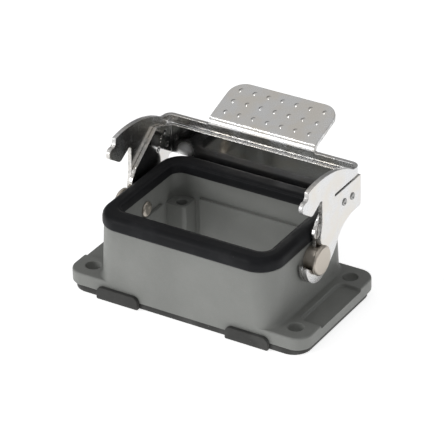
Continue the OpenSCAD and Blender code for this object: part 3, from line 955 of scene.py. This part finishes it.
@dataclass
class Casting:
    """The die-cast housing: flange with four screw pads, box, rim, insert bay and its four pillars."""

    flange: tuple[float, float, float] = (41.0, 21.98, 5.0)
    body: tuple[float, float] = (30.2, 22.0)
    foot_corner: float = 5.6
    foot_fillet: float = 1.4
    top_corner: float = 8.0
    bottom: float = 2.0
    pad_top: float = 6.2
    recess_floor: float = 5.1
    seat: float = 24.5
    rim_top: float = 27.2
    bay: tuple[float, float, float] = (26.0, 17.0, 4.0)
    ledge: float = 17.9
    pillar_top: float = 17.0
    panel_hole_radius: float = 2.35
    insert_hole_radius: float = 1.65
    bore_radius: float = 2.12

    def flange_slab(self) -> Shell:
        """The flange plate, its lower edge broken and its upper edge rounded by 0.6 mm."""
        low = quarter(-0.35, self.bottom + 0.35, 0.35, 270, 3)
        high = quarter(-0.6, self.pad_top - 0.6, 0.6, 0, 6)
        section = [*low, (0.0, self.bottom + 0.45), (0.0, self.pad_top - 0.7), *high]
        return ring_shell(offset_rows(*self.flange, section), steps=10)

    def box(self) -> Shell:
        """The box with its cast foot fillet, seat and rim. Corner radius grows evenly from foot to top."""
        f = self.foot_fillet
        levels = [(f, self.bottom + 0.05), (f, self.pad_top - 0.02)]
        levels += quarter(f, self.pad_top + f, -f, 180, 7)[1:]
        levels += [(0.0, z) for z in np.linspace(10, self.seat - 0.4, 5)]
        ends = [self.pad_top, self.seat], [self.foot_corner, self.top_corner]
        rows = [(*self.body, float(np.interp(z, *ends)), float(z)) for _, z in levels]
        section = quarter(-0.4, self.seat - 0.4, 0.4, 0, 3)[1:]
        section += [(-1.7, self.seat), *quarter(-2.0, self.rim_top - 0.3, 0.3, 0, 3)]
        rows += offset_rows(*self.body, self.top_corner, section)
        return ring_shell(rows, steps=12, flare=[float(o) for o, _ in levels] + [0.0] * len(section))

    def bay_cutter(self) -> Shell:
        """The insert bay, straight through."""
        return ring_shell(offset_rows(*self.bay, [(0, 0), (0, self.rim_top + 1)]), steps=8)

    def post(self, plan: tuple[float, float, float], top: float, soft: float, x: float, y: float) -> Shell:
        """An upright prism with a rounded top edge, about x, y; plan is half sizes and corner radius."""
        section = [(0, self.bottom + 0.02), (0, top - soft - 0.1), *quarter(-soft, top - soft, soft, 0, 4)]
        rows = offset_rows(*plan, section)
        lit = [0.0, 0.0, 0.7, *[1.0] * (len(rows) - 4), 0.0]
        return ring_shell([(*row, e) for row, e in zip(rows, lit)], steps=6).moved(x, y)

    def inner_walls(self) -> Shell:
        """The thicker lower walls and the four screw pillars, each with soft edges."""
        long_wall = self.post((17.7, 1.0, 0.4), self.ledge, 0.35, 0, 17.1)
        short_wall = self.post((1.0, 8.3, 0.4), self.ledge, 0.35, 26.1, 0)
        pillar = self.post((4.425, 4.175, 1.3), self.pillar_top, 0.3, 23.775, 15.025)
        walls = [long_wall, long_wall.mirrored(y=True), short_wall, short_wall.mirrored(x=True)]
        return joined(walls + pillar.in_quarters())

    def hole(self, r: float, low: float, top: float, lip: float) -> Shell:
        """A round cutter that flares by lip at its mouth, as a quarter circle tangent to the wall."""
        foot = low + (0 if low <= 0 else 0.9)
        mouth = quarter(r + lip, top - lip, -lip, 90, 4)
        section = [(0, low), (r, foot), *mouth, (r + lip, top + 1.5), (0, top + 1.5)]
        return revolved(section, 48)

    def cutters(self) -> Shell:
        """Recesses between the screw pads, panel-screw holes, insert-screw holes and the pins' bores."""
        floor, top, lip = self.recess_floor, self.pad_top, 0.35
        section = [*quarter(-0.45, floor + 0.45, 0.45, 270, 4), *quarter(lip, top - lip, -lip, 90, 4)]
        section += [(0.36, top + 0.01), (0.36, top + 1)]
        recess = ring_shell(offset_rows(6.0, 11.8, 2.2, section), steps=8).moved(x=39.7)
        screw = self.hole(self.panel_hole_radius, 0.0, top, 0.3).moved(*PANEL_SCREW)
        insert = self.hole(self.insert_hole_radius, self.pillar_top - 10, self.pillar_top, lip)
        insert = insert.moved(22, 13.5)
        bore_section = [(0, 24), (self.bore_radius, 24), (self.bore_radius, 32), (0, 32)]
        bore = lying(bore_section, 40, Side.RIGHT).moved(z=PIVOT_HEIGHT)
        ends = [recess, recess.mirrored(x=True), bore, bore.mirrored(x=True)]
        return joined(ends + screw.in_quarters() + insert.in_quarters())

    def build(self) -> Piece:
        """Builds the casting and dresses it.

        Returns:
            The finished piece, riding on the base.
        """
        piece = to_object("cast_housing", self.flange_slab())
        machined(piece, self.box(), Cut.ADD)
        machined(piece, self.bay_cutter(), Cut.REMOVE)
        machined(piece, self.inner_walls(), Cut.ADD)
        machined(piece, self.cutters(), Cut.REMOVE)
        finish = CASTING_GREY.material()
        return fitted(smoothed(piece, 38), "base", "powder_coated_casting", finish, "housing")


@dataclass
class RimSeal:
    """The rubber seal over the rim: outer skirt, crowned top and a thin inner lip."""

    outer: tuple[float, float, float] = (30.4, 22.5, 8.0)
    opening: tuple[float, float, float] = (25.35, 16.15, 3.3)
    seat: float = 24.5
    top: float = 28.8
    crown: float = 2.1

    def build(self) -> Piece:
        """Builds the seal as one closed section of (offset, height, edge) points carried round the rim."""
        (ox, oy, r), (ix, iy, q), low, top = self.outer, self.opening, self.seat, self.top
        skirt = [
            (-1.88, low + 0.02, 0), (-0.7, low + 0.02, 0), (-0.35, low + 0.02, 0.6), (-0.08, low + 0.2, 1),
            (0.0, low + 0.55, 0.4), (0.0, low + 1.0, 0), (-0.02, top - 2.4, 0), (-0.06, top - 2.1, 0),
        ]
        lip = [
            (2.0, top - 0.02, 0), (1.5, top - 0.06, 0), (1.15, top - 0.2, 0.5), (0.95, top - 0.42, 0.2),
            (0.6, top - 0.46, 0), (0.32, top - 0.52, 1), (0.1, top - 0.72, 1), (0.0, top - 1.0, 0.5),
            (0.0, 26.2, 0), (0.0, 25.7, 0), (0.12, 25.42, 0.8), (0.35, 25.32, 0.5), (0.6, 25.3, 0),
        ]
        crown = quarter(-self.crown, top - self.crown, self.crown, 0, 10)[1:]
        rows = [(ox + o, oy + o, r + o, z, e) for o, z, e in skirt]
        rows += [(ox + o - 0.06, oy + o - 0.06, r + o, z, 0.35) for o, z in crown]
        rows += [(ix + o, iy + o, q + o, z, e) for o, z, e in lip]
        rows += [(26.02, 17.02, 4.0, 27.22, 0.0), (28.52, 20.32, 5.32, 27.22, 0.0)]
        piece = to_object("rubber_rim_seal", ring_shell(rows, close=True, steps=12))
        return fitted(smoothed(piece, 60), "base", "seal_rubber", SEAL_RUBBER.material(), "rim_seal")


@dataclass
class PanelGasket:
    """The gasket under the flange, with four moulded clips that hold it to the flange's long edges."""

    plate: tuple[float, float, float] = (40.0, 21.7, 5.5)
    opening: tuple[float, float, float] = (27.0, 18.0, 4.0)
    thickness: float = 1.98
    clip_x: float = 22.3
    clip_half: float = 7.3
    clip_top: float = 4.2

    def plate_shell(self) -> Shell:
        """The plate: its outer edge bulges by 0.1 mm where the flange presses it."""
        t = self.thickness
        bulge = [(-0.12, 0.0), (-0.02, 0.08), (0.0, 0.3), (0.1, t / 2)]
        bulge += [(0.0, t - 0.3), (-0.05, t - 0.08), (-0.16, t)]
        rows = offset_rows(*self.plate, bulge)
        rows += offset_rows(*self.opening, [(0.15, t), (0.0, t - 0.15), (0.0, 0.15), (0.15, 0.0)])
        return ring_shell(rows, close=True, steps=10)

    def clip(self) -> Shell:
        """A clip: a tab that stands on the plate's edge, with rounded upper corners and soft edges."""
        w, h = self.clip_half, self.clip_top
        outline = rounded_outline([(-w, 0.0, 0.5), (w, 0.0, 0.5), (w, h, 2.0), (-w, h, 2.0)], 8)
        loop = resampled(outline, 1.2)
        normal = outward(loop)
        inner, outer = 22.01, 23.2
        section = [(-0.05, inner), (0.0, inner + 0.1)]
        section += [(0.0, outer - 0.35), (-0.1, outer - 0.1), (-0.35, outer)]
        rings = [np.insert(loop + o * normal, 1, y, axis=1) for o, y in section]
        return with_caps(Shell(np.vstack(rings), strip_faces(len(section), len(loop), False)), len(loop))

    def foot(self) -> Shell:
        """The web that joins a clip to the plate, under the flange's edge."""
        section = [(0.0, 0.02), (0.0, self.thickness - 0.03)]
        return ring_shell(offset_rows(self.clip_half - 0.6, 0.7, 0.1, section), steps=2).moved(y=22.0)

    def build(self) -> Piece:
        """Builds the gasket and dresses it."""
        piece = to_object("panel_gasket", self.plate_shell())
        sides = [(s, f) for s in (-1, 1) for f in (False, True)]
        for part in (self.foot(), self.clip()):
            machined(piece, joined([part.moved(x=s * self.clip_x).mirrored(y=f) for s, f in sides]), Cut.ADD)
        hole = revolved([(0, -1), (2.65, -1), (2.65, 3), (0, 3)], 40)
        x, y = PANEL_SCREW
        machined(piece, joined([hole.moved(s * x, t * y) for s in (-1, 1) for t in (-1, 1)]), Cut.REMOVE)
        return fitted(smoothed(piece, 45), "base", "gasket_rubber", GASKET_RUBBER.material(), "flange_gasket")


@dataclass
class PivotPin:
    """A headed pivot pin: clinched inner end, shank, bearing part and bevelled head."""

    side: Side
    height: float = PIVOT_HEIGHT

    def build(self) -> Piece:
        """Builds the pin as a turned solid along X, from (radius, x, edge) points."""
        section = [
            (0, 25.3, 0), (0.7, 25.28, 0), (1.15, 25.2, 0), (1.6, 25.24, 0), (2.1, 25.38, 0),
            (2.38, 25.62, 1), (2.45, 25.85, 1), (2.42, 25.98, 1), (2.1, 26.0, 0), (2.1, 30.2, 0),
            (3.3, 30.2, 0), (3.45, 30.26, 0.6), (3.5, 30.42, 0), (3.5, 33.7, 0), (3.52, 33.8, 0),
            (4.3, 33.8, 0), (4.5, 33.86, 0.6), (4.6, 34.0, 1), (4.6, 34.55, 1), (4.56, 34.68, 1),
            (4.24, 35.0, 1), (4.1, 35.06, 0.7), (3.9, 35.08, 0), (2.0, 35.1, 0), (0, 35.1, 0),
        ]
        shell = lying([row[:2] for row in section], 72, self.side, [float(row[2]) for row in section])
        name = f"pivot_pin_{self.side.name.lower()}"
        piece = to_object("turned_" + name, shell.moved(z=self.height))
        return fitted(smoothed(piece, 50), "base", "nickel_plated_pin", PIN_NICKEL.material(), name)


@dataclass
class FoldedU:
    """A U folded from a blank: the back across, two arms forward.

    Flat coordinates are the run along the sheet's middle from X = 0, and height.
    """

    arm_x: float
    back_y: float
    bend: float

    @property
    def back_half(self) -> float:
        """Half the straight length of the back."""
        return self.arm_x - self.bend

    @property
    def turn_end(self) -> float:
        """Run at which the corner bend ends and the arm starts."""
        return self.back_half + self.bend * math.pi / 2

    @property
    def arm_start(self) -> float:
        """Y of the arm's rear end, where the corner bend ends."""
        return self.back_y - self.bend

    def run(self, y: float | np.ndarray) -> float | np.ndarray:
        """Run along the blank for a place y on an arm."""
        return self.turn_end + self.arm_start - y

    def fold(self, uv: np.ndarray) -> tuple[np.ndarray, np.ndarray]:
        """Bends flat points round the two back corners.

        On the back x is the run; in a corner the point turns about the bend's centre by
        run / radius; on an arm x stays and y falls with the run. Normals point into the U.

        Args:
            uv: (n, 2) run and height.

        Returns:
            Middle-surface points and unit normals.
        """
        side, s = np.where(uv[:, 0] < 0, -1.0, 1.0), np.abs(uv[:, 0])
        a = np.clip((s - self.back_half) / self.bend, 0, math.pi / 2)
        x = np.minimum(s, self.back_half) + self.bend * np.sin(a)
        y = self.arm_start + self.bend * np.cos(a) - np.maximum(s - self.turn_end, 0)
        points = np.stack([side * x, y, uv[:, 1]], 1)
        return points, np.stack([-side * np.sin(a), -np.cos(a), np.zeros(len(s))], 1)

    def bend_points(self, low: float, high: float, step: float = 0.45) -> np.ndarray:
        """Inner points over both corner bends between two heights."""
        s = np.linspace(self.back_half, self.turn_end, 9)
        u, v = np.meshgrid(np.concatenate([-s, s]), np.arange(low + step / 2, high, step))
        return np.column_stack([u.ravel(), v.ravel()])

    def on_arms(self, y: float, z: float) -> list[np.ndarray]:
        """The flat points for a place y, z on the left and on the right arm."""
        return [np.array([side * self.run(y), z]) for side in (-1, 1)]

    def loops(self, arm: Corners, middle: Corners) -> list[np.ndarray]:
        """The blank's outline and its rivet holes.

        Args:
            arm: the right arm's edge as (y, z, rounding).
            middle: corners between the outline's middle and that arm, in flat coordinates.

        Returns:
            The outline, its left half the mirror image of the right, and four circles.
        """
        half = [*middle, *((self.run(y), z, r) for y, z, r in arm)]
        outline = rounded_outline((half + [(-u, v, r) for u, v, r in half[::-1]])[::-1])
        left, right = zip(*(self.on_arms(*place) for place in RIVETS.values()))
        return [resampled(outline, OUTLINE_STEP)] + [round_hole(RIVET_HOLE_RADIUS) + s for s in left + right]


def pin_slot(mouth: float, angle: float = 145.0) -> Corners:
    """The slot edge round the pin, from its upper side, round the back and below, to the lip of the J.

    Args:
        mouth: half width of the straight mouth.
        angle: direction of the mouth in degrees from +Y.

    Returns:
        (y, z, rounding) corners.
    """
    r, d = PIN_SLOT_RADIUS, math.radians(angle)
    ahead, above = np.array([math.cos(d), math.sin(d)]), np.array([math.sin(d), -math.cos(d)])
    reach = math.sqrt(max(r * r - mouth * mouth, 0.0))
    first, last = above * mouth + ahead * reach, -above * mouth + ahead * reach
    start = math.degrees(math.atan2(first[1], first[0]))
    arc = sweep(0, PIVOT_HEIGHT, r, start, start - 360 + 2 * math.degrees(math.atan2(mouth, reach)), 36)
    tip = last + ahead * (math.sqrt(J_RADIUS ** 2 - mouth * mouth) - reach)
    return arc + [(float(tip[0]), float(PIVOT_HEIGHT + tip[1]), 0.75)]


def j_outline() -> Corners:
    """The J's outer edge from under the lip: an arc about the pin, then one of 7 set back by 0.9."""
    return sweep(0, PIVOT_HEIGHT, J_RADIUS, 186, 297, 22) + sweep(0.9, PIVOT_HEIGHT + 0.2, 7.0, 297, 322, 6)


def tail_outline() -> Corners:
    """The arm's lower rear edge, an S from the J up to the rear lobe."""
    return [(8.2, 17.4, 2.0), (10.1, 19.4, 3.0), (11.4, 21.6, 4.0), (13.1, 23.4, 4.0), (15.6, 24.9, 5.0)]


@dataclass
class LockingLever:
    """The locking lever: hooked arms, a back strip over a relief slit, and the handle with its grip bumps."""

    folded: FoldedU = field(default_factory=lambda: FoldedU(32.8, 24.35, 1.9))
    thickness: float = 1.4
    strip_low: float = 37.1
    strip_top: float = 39.86
    slit_low: float = 36.4
    handle_half: float = 18.4
    handle_length: float = 15.5
    handle_corner: float = 5.3
    handle_bend: float = 1.9
    slope: float = 18.2
    bump_pitch: float = 4.85
    bump_radius: float = 0.95
    bump_height: float = 0.27
    first_row: float = 2.5

    @property
    def handle_turn(self) -> float:
        """Angle of the handle's bend in radians."""
        return math.radians(90 - self.slope)

    @property
    def handle_start(self) -> float:
        """Flat height at which the handle's flat part starts."""
        return self.strip_top + self.handle_bend * self.handle_turn

    def arm(self) -> Corners:
        """Right arm's edge from the top rear over the hook, down round the pin and back to the slit."""
        crown = [(y, 9.6 + math.sqrt(36.2 ** 2 - (y - 1) ** 2), 0.0) for y in np.linspace(20.2, -3.9, 26)]
        nose = [(-5.7, 45.1, 0.7), (-6.0, 43.2, 0.9)]
        nose += [*sweep(-7.4, 40.8, 1.85, 72, 228, 12), (-3.75, 36.1, 1.7)]
        notch = sweep(1.2, 37.7, 1.0, 146, 0, 9)
        shank = [(2.2, 31.5, 2.0), (1.75, 28.5, 3.0), (1.2, 26.0, 2.0), (1.3, 24.4, 0.8)]
        tail = [(18.4, 25.8, 4.0), (20.6, 26.0, 2.0), (25.05, 26.0, 0.8), (25.05, self.slit_low, 0.5)]
        slit = [(9.5, self.slit_low, 0.33), (9.5, self.strip_low, 0.33)]
        top = [(22.0, self.strip_top, 1.5), *crown, *nose, *notch, *shank]
        return top + pin_slot(PIN_SLOT_RADIUS) + j_outline() + tail_outline() + tail + slit

    def place(self, uv: np.ndarray) -> tuple[np.ndarray, np.ndarray]:
        """Folds the blank: corners above the slit, flat arm tails below it, the handle over its own bend."""
        points, normals = self.folded.fold(uv)
        tail = (uv[:, 1] < self.strip_low - 0.35) & (np.abs(uv[:, 0]) > 20)
        side = np.sign(uv[:, 0])
        points[tail, 0] = side[tail] * self.folded.arm_x
        points[tail, 1] = self.folded.arm_start + self.folded.turn_end - np.abs(uv[tail, 0])
        normals[tail] = np.stack([-side[tail], 0 * side[tail], 0 * side[tail]], 1)
        over = (uv[:, 1] > self.strip_top) & (np.abs(uv[:, 0]) < self.handle_half + 1)
        r, turn = self.handle_bend, self.handle_turn
        a = np.clip((uv[over, 1] - self.strip_top) / r, 0, turn)
        past = np.maximum(uv[over, 1] - self.handle_start, 0)
        y = self.folded.back_y + r - r * np.cos(a) + past * math.sin(turn)
        z = self.strip_top + r * np.sin(a) + past * math.cos(turn)
        points[over] = np.stack([uv[over, 0], y, z], 1)
        normals[over] = np.stack([0 * a, -np.cos(a), np.sin(a)], 1)
        return points, normals

    def bumps(self, uv: np.ndarray) -> np.ndarray:
        """Height of the grip bumps: seven by three domes."""
        u = uv[:, 0] / self.bump_pitch
        v = (uv[:, 1] - self.handle_start - self.first_row) / self.bump_pitch
        i, j = np.clip(np.round(u), -3, 3), np.clip(np.round(v), 0, 2)
        return self.bump_height * dome(np.hypot(u - i, v - j) * self.bump_pitch / self.bump_radius)

    def grip_points(self) -> np.ndarray:
        """Inner points of the handle: rows over its bend and just past it, and rings about each bump."""
        past = self.handle_start + np.array([0.25, 0.6, 1.0])
        bend = np.append(np.linspace(self.strip_top + 0.02, self.handle_start, 12), past)
        u, v = np.meshgrid(np.linspace(-17.6, 17.6, 37), bend)
        i, j = np.meshgrid(np.arange(-3, 4), np.arange(3))
        first = self.handle_start + self.first_row
        middle = np.column_stack([i.ravel() * self.bump_pitch, first + j.ravel() * self.bump_pitch])
        cap = disc([0.0001, 0.2, 0.4, 0.58, 0.74, 0.88, 1.0, 1.15], 16)
        return np.vstack([np.column_stack([u.ravel(), v.ravel()]), (middle[:, None] + cap).reshape(-1, 2)])

    def build(self) -> Piece:
        """Builds the lever and dresses it."""
        reach = self.handle_start + self.handle_length
        handle = [(self.handle_half, reach, self.handle_corner), (self.handle_half, self.strip_top, 0.45)]
        loops = self.folded.loops(self.arm(), handle)
        extra = np.vstack([self.folded.bend_points(self.strip_low, self.strip_top), self.grip_points()])
        extra = clear_of(extra, loops, INNER_GAP)
        shell = bent_sheet(loops, self.place, self.thickness, 0.16, extra, self.bumps)
        piece = to_object("pressed_locking_lever", shell)
        finish = LEVER_ZINC.material()
        return fitted(smoothed(piece, 50), "lever", "zinc_plated_sheet", finish, "locking_lever")


@dataclass
class SpringBail:
    """The spring bail nested inside the lever: a deep back and two arms that snap over the pins.

    Each pressed mark is y, z, radius and depth on an arm; the dish is run, height and half sizes on the back.
    """

    folded: FoldedU = field(default_factory=lambda: FoldedU(31.45, 23.0, 1.1))
    thickness: float = 1.2
    low: float = 27.6
    top: float = 37.2
    mouth_half: float = 3.2
    marks: tuple[tuple[float, float, float, float], ...] = (
        (16.7, 35.2, 0.75, 0.24), (18.9, 36.0, 0.75, 0.24), (16.2, 33.6, 0.6, 0.14)
    )
    dish: tuple[float, float, float, float] = (25.4, 31.2, 3.6, 2.9)
    dish_depth: float = 0.2

    def arm(self) -> Corners:
        """Right arm's edge from the back's top edge forwards, round the pin and back."""
        rear = self.folded.arm_start - 0.4
        front = [
            (rear, self.top, 0.8), (19.2, 38.2, 1.5), *sweep(14.8, 38.5, 1.0, 70, 122, 5), (2.6, 31.2, 2.5),
            (0.75, 28.8, 1.0), *sweep(1.9, 27.2, 1.75, 155, 235, 8), (0.9, 24.7, 0.8),
        ]
        tail = [*tail_outline(), (18.4, 25.8, 4.0), (21.0, 26.6, 2.0), (rear, self.low, 1.0)]
        return front + pin_slot(self.mouth_half) + j_outline() + tail

    def dents(self, uv: np.ndarray) -> np.ndarray:
        """Depth, below 0, of the arms' marks and of a broad dish near each end of the back, all domes."""
        y = self.folded.turn_end + self.folded.arm_start - np.abs(uv[:, 0])
        u, v, long_half, high_half = self.dish
        d = np.hypot((np.abs(uv[:, 0]) - u) / long_half, (uv[:, 1] - v) / high_half)
        depth = -self.dish_depth * dome(d)
        for mark_y, mark_z, r, h in self.marks:
            depth -= h * dome(np.hypot(y - mark_y, uv[:, 1] - mark_z) / r)
        return depth

    def inner_points(self) -> np.ndarray:
        """Inner points over the corner bends, the arms' marks and the dishes."""
        cap = disc([0.0001, 0.25, 0.5, 0.75, 1.0], 14)
        spots = [self.folded.bend_points(self.low, self.top, 0.8)]
        for side in (0, 1):
            spots += [self.folded.on_arms(y, z)[side] + (r + 0.05) * cap for y, z, r, _ in self.marks]
        # the first 27 points, two spokes and part of a third, are left out
        dish = (spokes(np.linspace(0.001, 1.1, 12), 28) * np.array(self.dish[2:]))[27:]
        return np.vstack(spots + [np.array([side * self.dish[0], self.dish[1]]) + dish for side in (-1, 1)])

    def build(self) -> Piece:
        """Builds the spring bail and dresses it."""
        loops = self.folded.loops(self.arm(), [])
        extra = clear_of(self.inner_points(), loops, INNER_GAP)
        shell = bent_sheet(loops, self.folded.fold, self.thickness, 0.14, extra, self.dents)
        piece = to_object("pressed_spring_bail", shell)
        return fitted(smoothed(piece, 50), "lever", "spring_sheet", SPRING_STEEL.material(), "spring_bail")


@dataclass
class LeverRivet:
    """A rivet through both sheets of an arm: a low head with a crimped middle."""

    side: Side
    row: str
    y: float
    z: float

    def build(self) -> Piece:
        """Builds the rivet as a turned solid along X, from (radius, x) points."""
        section = [
            (0, 30.86), (0.4, 30.86), (0.7, 30.9), (0.75, 31.0), (0.75, 33.48), (1.08, 33.5), (1.15, 33.56),
            (1.13, 33.7), (0.98, 33.81), (0.78, 33.85), (0.62, 33.82), (0.5, 33.7), (0.42, 33.6), (0, 33.58),
        ]
        name = f"rivet_{self.side.name.lower()}_{self.row}"
        piece = to_object("crimped_" + name, lying(section, 28, self.side).moved(y=self.y, z=self.z))
        return fitted(smoothed(piece, 50), "lever", "lever_rivet", RIVET_STEEL.material(), name)


# ---- Studio --------------------------------------------------------------------------------


# ---- Studio ---------------------------------------------------------------------------------


@dataclass
class Studio:
    """Pale floor, soft lamps, a grey sky for the metal to reflect, and the camera."""

    yaw: float = 31.98
    pitch: float = 30.19
    roll: float = -1.23
    lens: float = 236.59
    eye: tuple[float, float, float] = (0.39435, -0.63055, 0.45571)
    floor_glow: float = 0.74
    floor_spill: float = 0.85

    def camera(self) -> None:
        """Sets up the camera from its yaw, pitch and roll."""
        yaw, pitch, roll = (math.radians(a) for a in (self.yaw, self.pitch, self.roll))
        back = Vector((math.cos(pitch) * math.sin(yaw), -math.cos(pitch) * math.cos(yaw), math.sin(pitch)))
        right = Vector((math.cos(yaw), math.sin(yaw), 0))
        up = back.cross(right)
        across = math.cos(roll) * right + math.sin(roll) * up
        high = math.cos(roll) * up - math.sin(roll) * right
        data = bpy.data.cameras.new("camera")
        data.lens, data.sensor_width, data.clip_start, data.clip_end = self.lens, 36.0, 0.01, 20.0
        made = bpy.data.objects.new("camera", data)
        made.matrix_world = Matrix.Translation(self.eye) @ Matrix((across, high, back)).transposed().to_4x4()
        bpy.context.scene.collection.objects.link(made)
        bpy.context.scene.camera = made

    def floor(self) -> None:
        """A pale floor that shows white to the camera and in reflections, and keeps a soft shadow."""
        mesh = bpy.data.meshes.new("studio_floor")
        mesh.from_pydata([(-3, -3, 0), (3, -3, 0), (3, 3, 0), (-3, 3, 0)], [], [(0, 1, 2, 3)])
        made = bpy.data.objects.new("studio_floor", mesh)
        bpy.context.scene.collection.objects.link(made)
        made.location.z = -0.0002
        material = bpy.data.materials.new("studio_floor")
        material.use_nodes = True
        graph, nodes = Graph(material.node_tree), material.node_tree.nodes
        shader = nodes["Principled BSDF"]
        matt = {"Base Color": (0.85, 0.85, 0.85), "Roughness": 0.9, "Specular IOR Level": 0.0}
        for name, value in matt.items():
            graph.link(value, shader.inputs[name])
        path = graph.add("ShaderNodeLightPath").outputs
        share, total = graph.add("ShaderNodeMixShader"), graph.add("ShaderNodeAddShader")
        graph.link(graph.math("MAXIMUM", path["Is Camera Ray"], path["Is Glossy Ray"]), share.inputs[0])
        for place, grey in ((1, self.floor_spill), (2, self.floor_glow)):
            glow = graph.add("ShaderNodeEmission")
            graph.link((grey, grey, grey), glow.inputs["Color"])
            graph.link(glow.outputs[0], share.inputs[place])
        graph.link(shader.outputs[0], total.inputs[0])
        graph.link(share.outputs[0], total.inputs[1])
        graph.link(total.outputs[0], nodes["Material Output"].inputs["Surface"])
        mesh.materials.append(material)

    def lamp(
        self, name: str, place: tuple[float, float, float], size: tuple[float, float], power: float
    ) -> None:
        """A rectangular soft lamp that faces the object."""
        data = bpy.data.lights.new(name, "AREA")
        data.shape, data.size, data.size_y, data.energy = "RECTANGLE", *size, power
        made = bpy.data.objects.new(name, data)
        made.location = place
        made.rotation_euler = (Vector((0, 0, 0.02)) - Vector(place)).to_track_quat("-Z", "Y").to_euler()
        bpy.context.scene.collection.objects.link(made)

    def sky(self) -> None:
        """The world: grey, brighter overhead, steeper so in reflections, white to the camera."""
        world = bpy.data.worlds.new("studio_sky")
        bpy.context.scene.world = world
        world.use_nodes = True
        graph = Graph(world.node_tree)
        _, _, up = graph.split(graph.add("ShaderNodeTexCoord").outputs["Generated"])
        tone = graph.mix(graph.ramp(up, 0.05, 0.75), (0.16, 0.16, 0.164), (0.36, 0.36, 0.365))
        shine = graph.mix(graph.ramp(up, 0.36, 0.66), (0.1, 0.1, 0.105), (0.6, 0.595, 0.59))
        path = graph.add("ShaderNodeLightPath").outputs
        seen = graph.mix(path["Is Glossy Ray"], tone, shine)
        shade = world.node_tree.nodes["Background"]
        graph.link(graph.mix(path["Is Camera Ray"], seen, (1.0, 1.0, 1.0)), shade.inputs["Color"])

    def build(self) -> None:
        """Builds the whole studio."""
        self.camera()
        self.floor()
        self.sky()
        self.lamp("key_softbox", (-0.6, -0.8, 0.36), (0.6, 0.3), 4.1)
        self.lamp("right_softbox", (1.0, -0.1, 0.16), (0.5, 0.3), 0.9)
        self.lamp("spark_lamp", (-0.46, -0.29, 0.88), (0.09, 0.09), 0.4)
        bpy.context.scene.view_settings.view_transform = "Standard"


def main() -> None:
    """Builds the finishes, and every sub-assembly and the studio."""
    logging.basicConfig(level=logging.INFO, format="%(name)s: %(message)s")
    for build in (build_grain, build_edge_highlight_and_shear, build_dust, build_rolled):
        build()
    Studio().build()
    pieces = [Casting(), RimSeal(), PanelGasket(), PivotPin(Side.RIGHT), PivotPin(Side.LEFT)]
    pieces += [LockingLever(), SpringBail()]
    pieces += [LeverRivet(side, row, y, z) for side in Side for row, (y, z) in RIVETS.items()]
    for piece in pieces:
        LOG.info("made %s", piece.build().name)


if __name__ == "__main__":
    main()
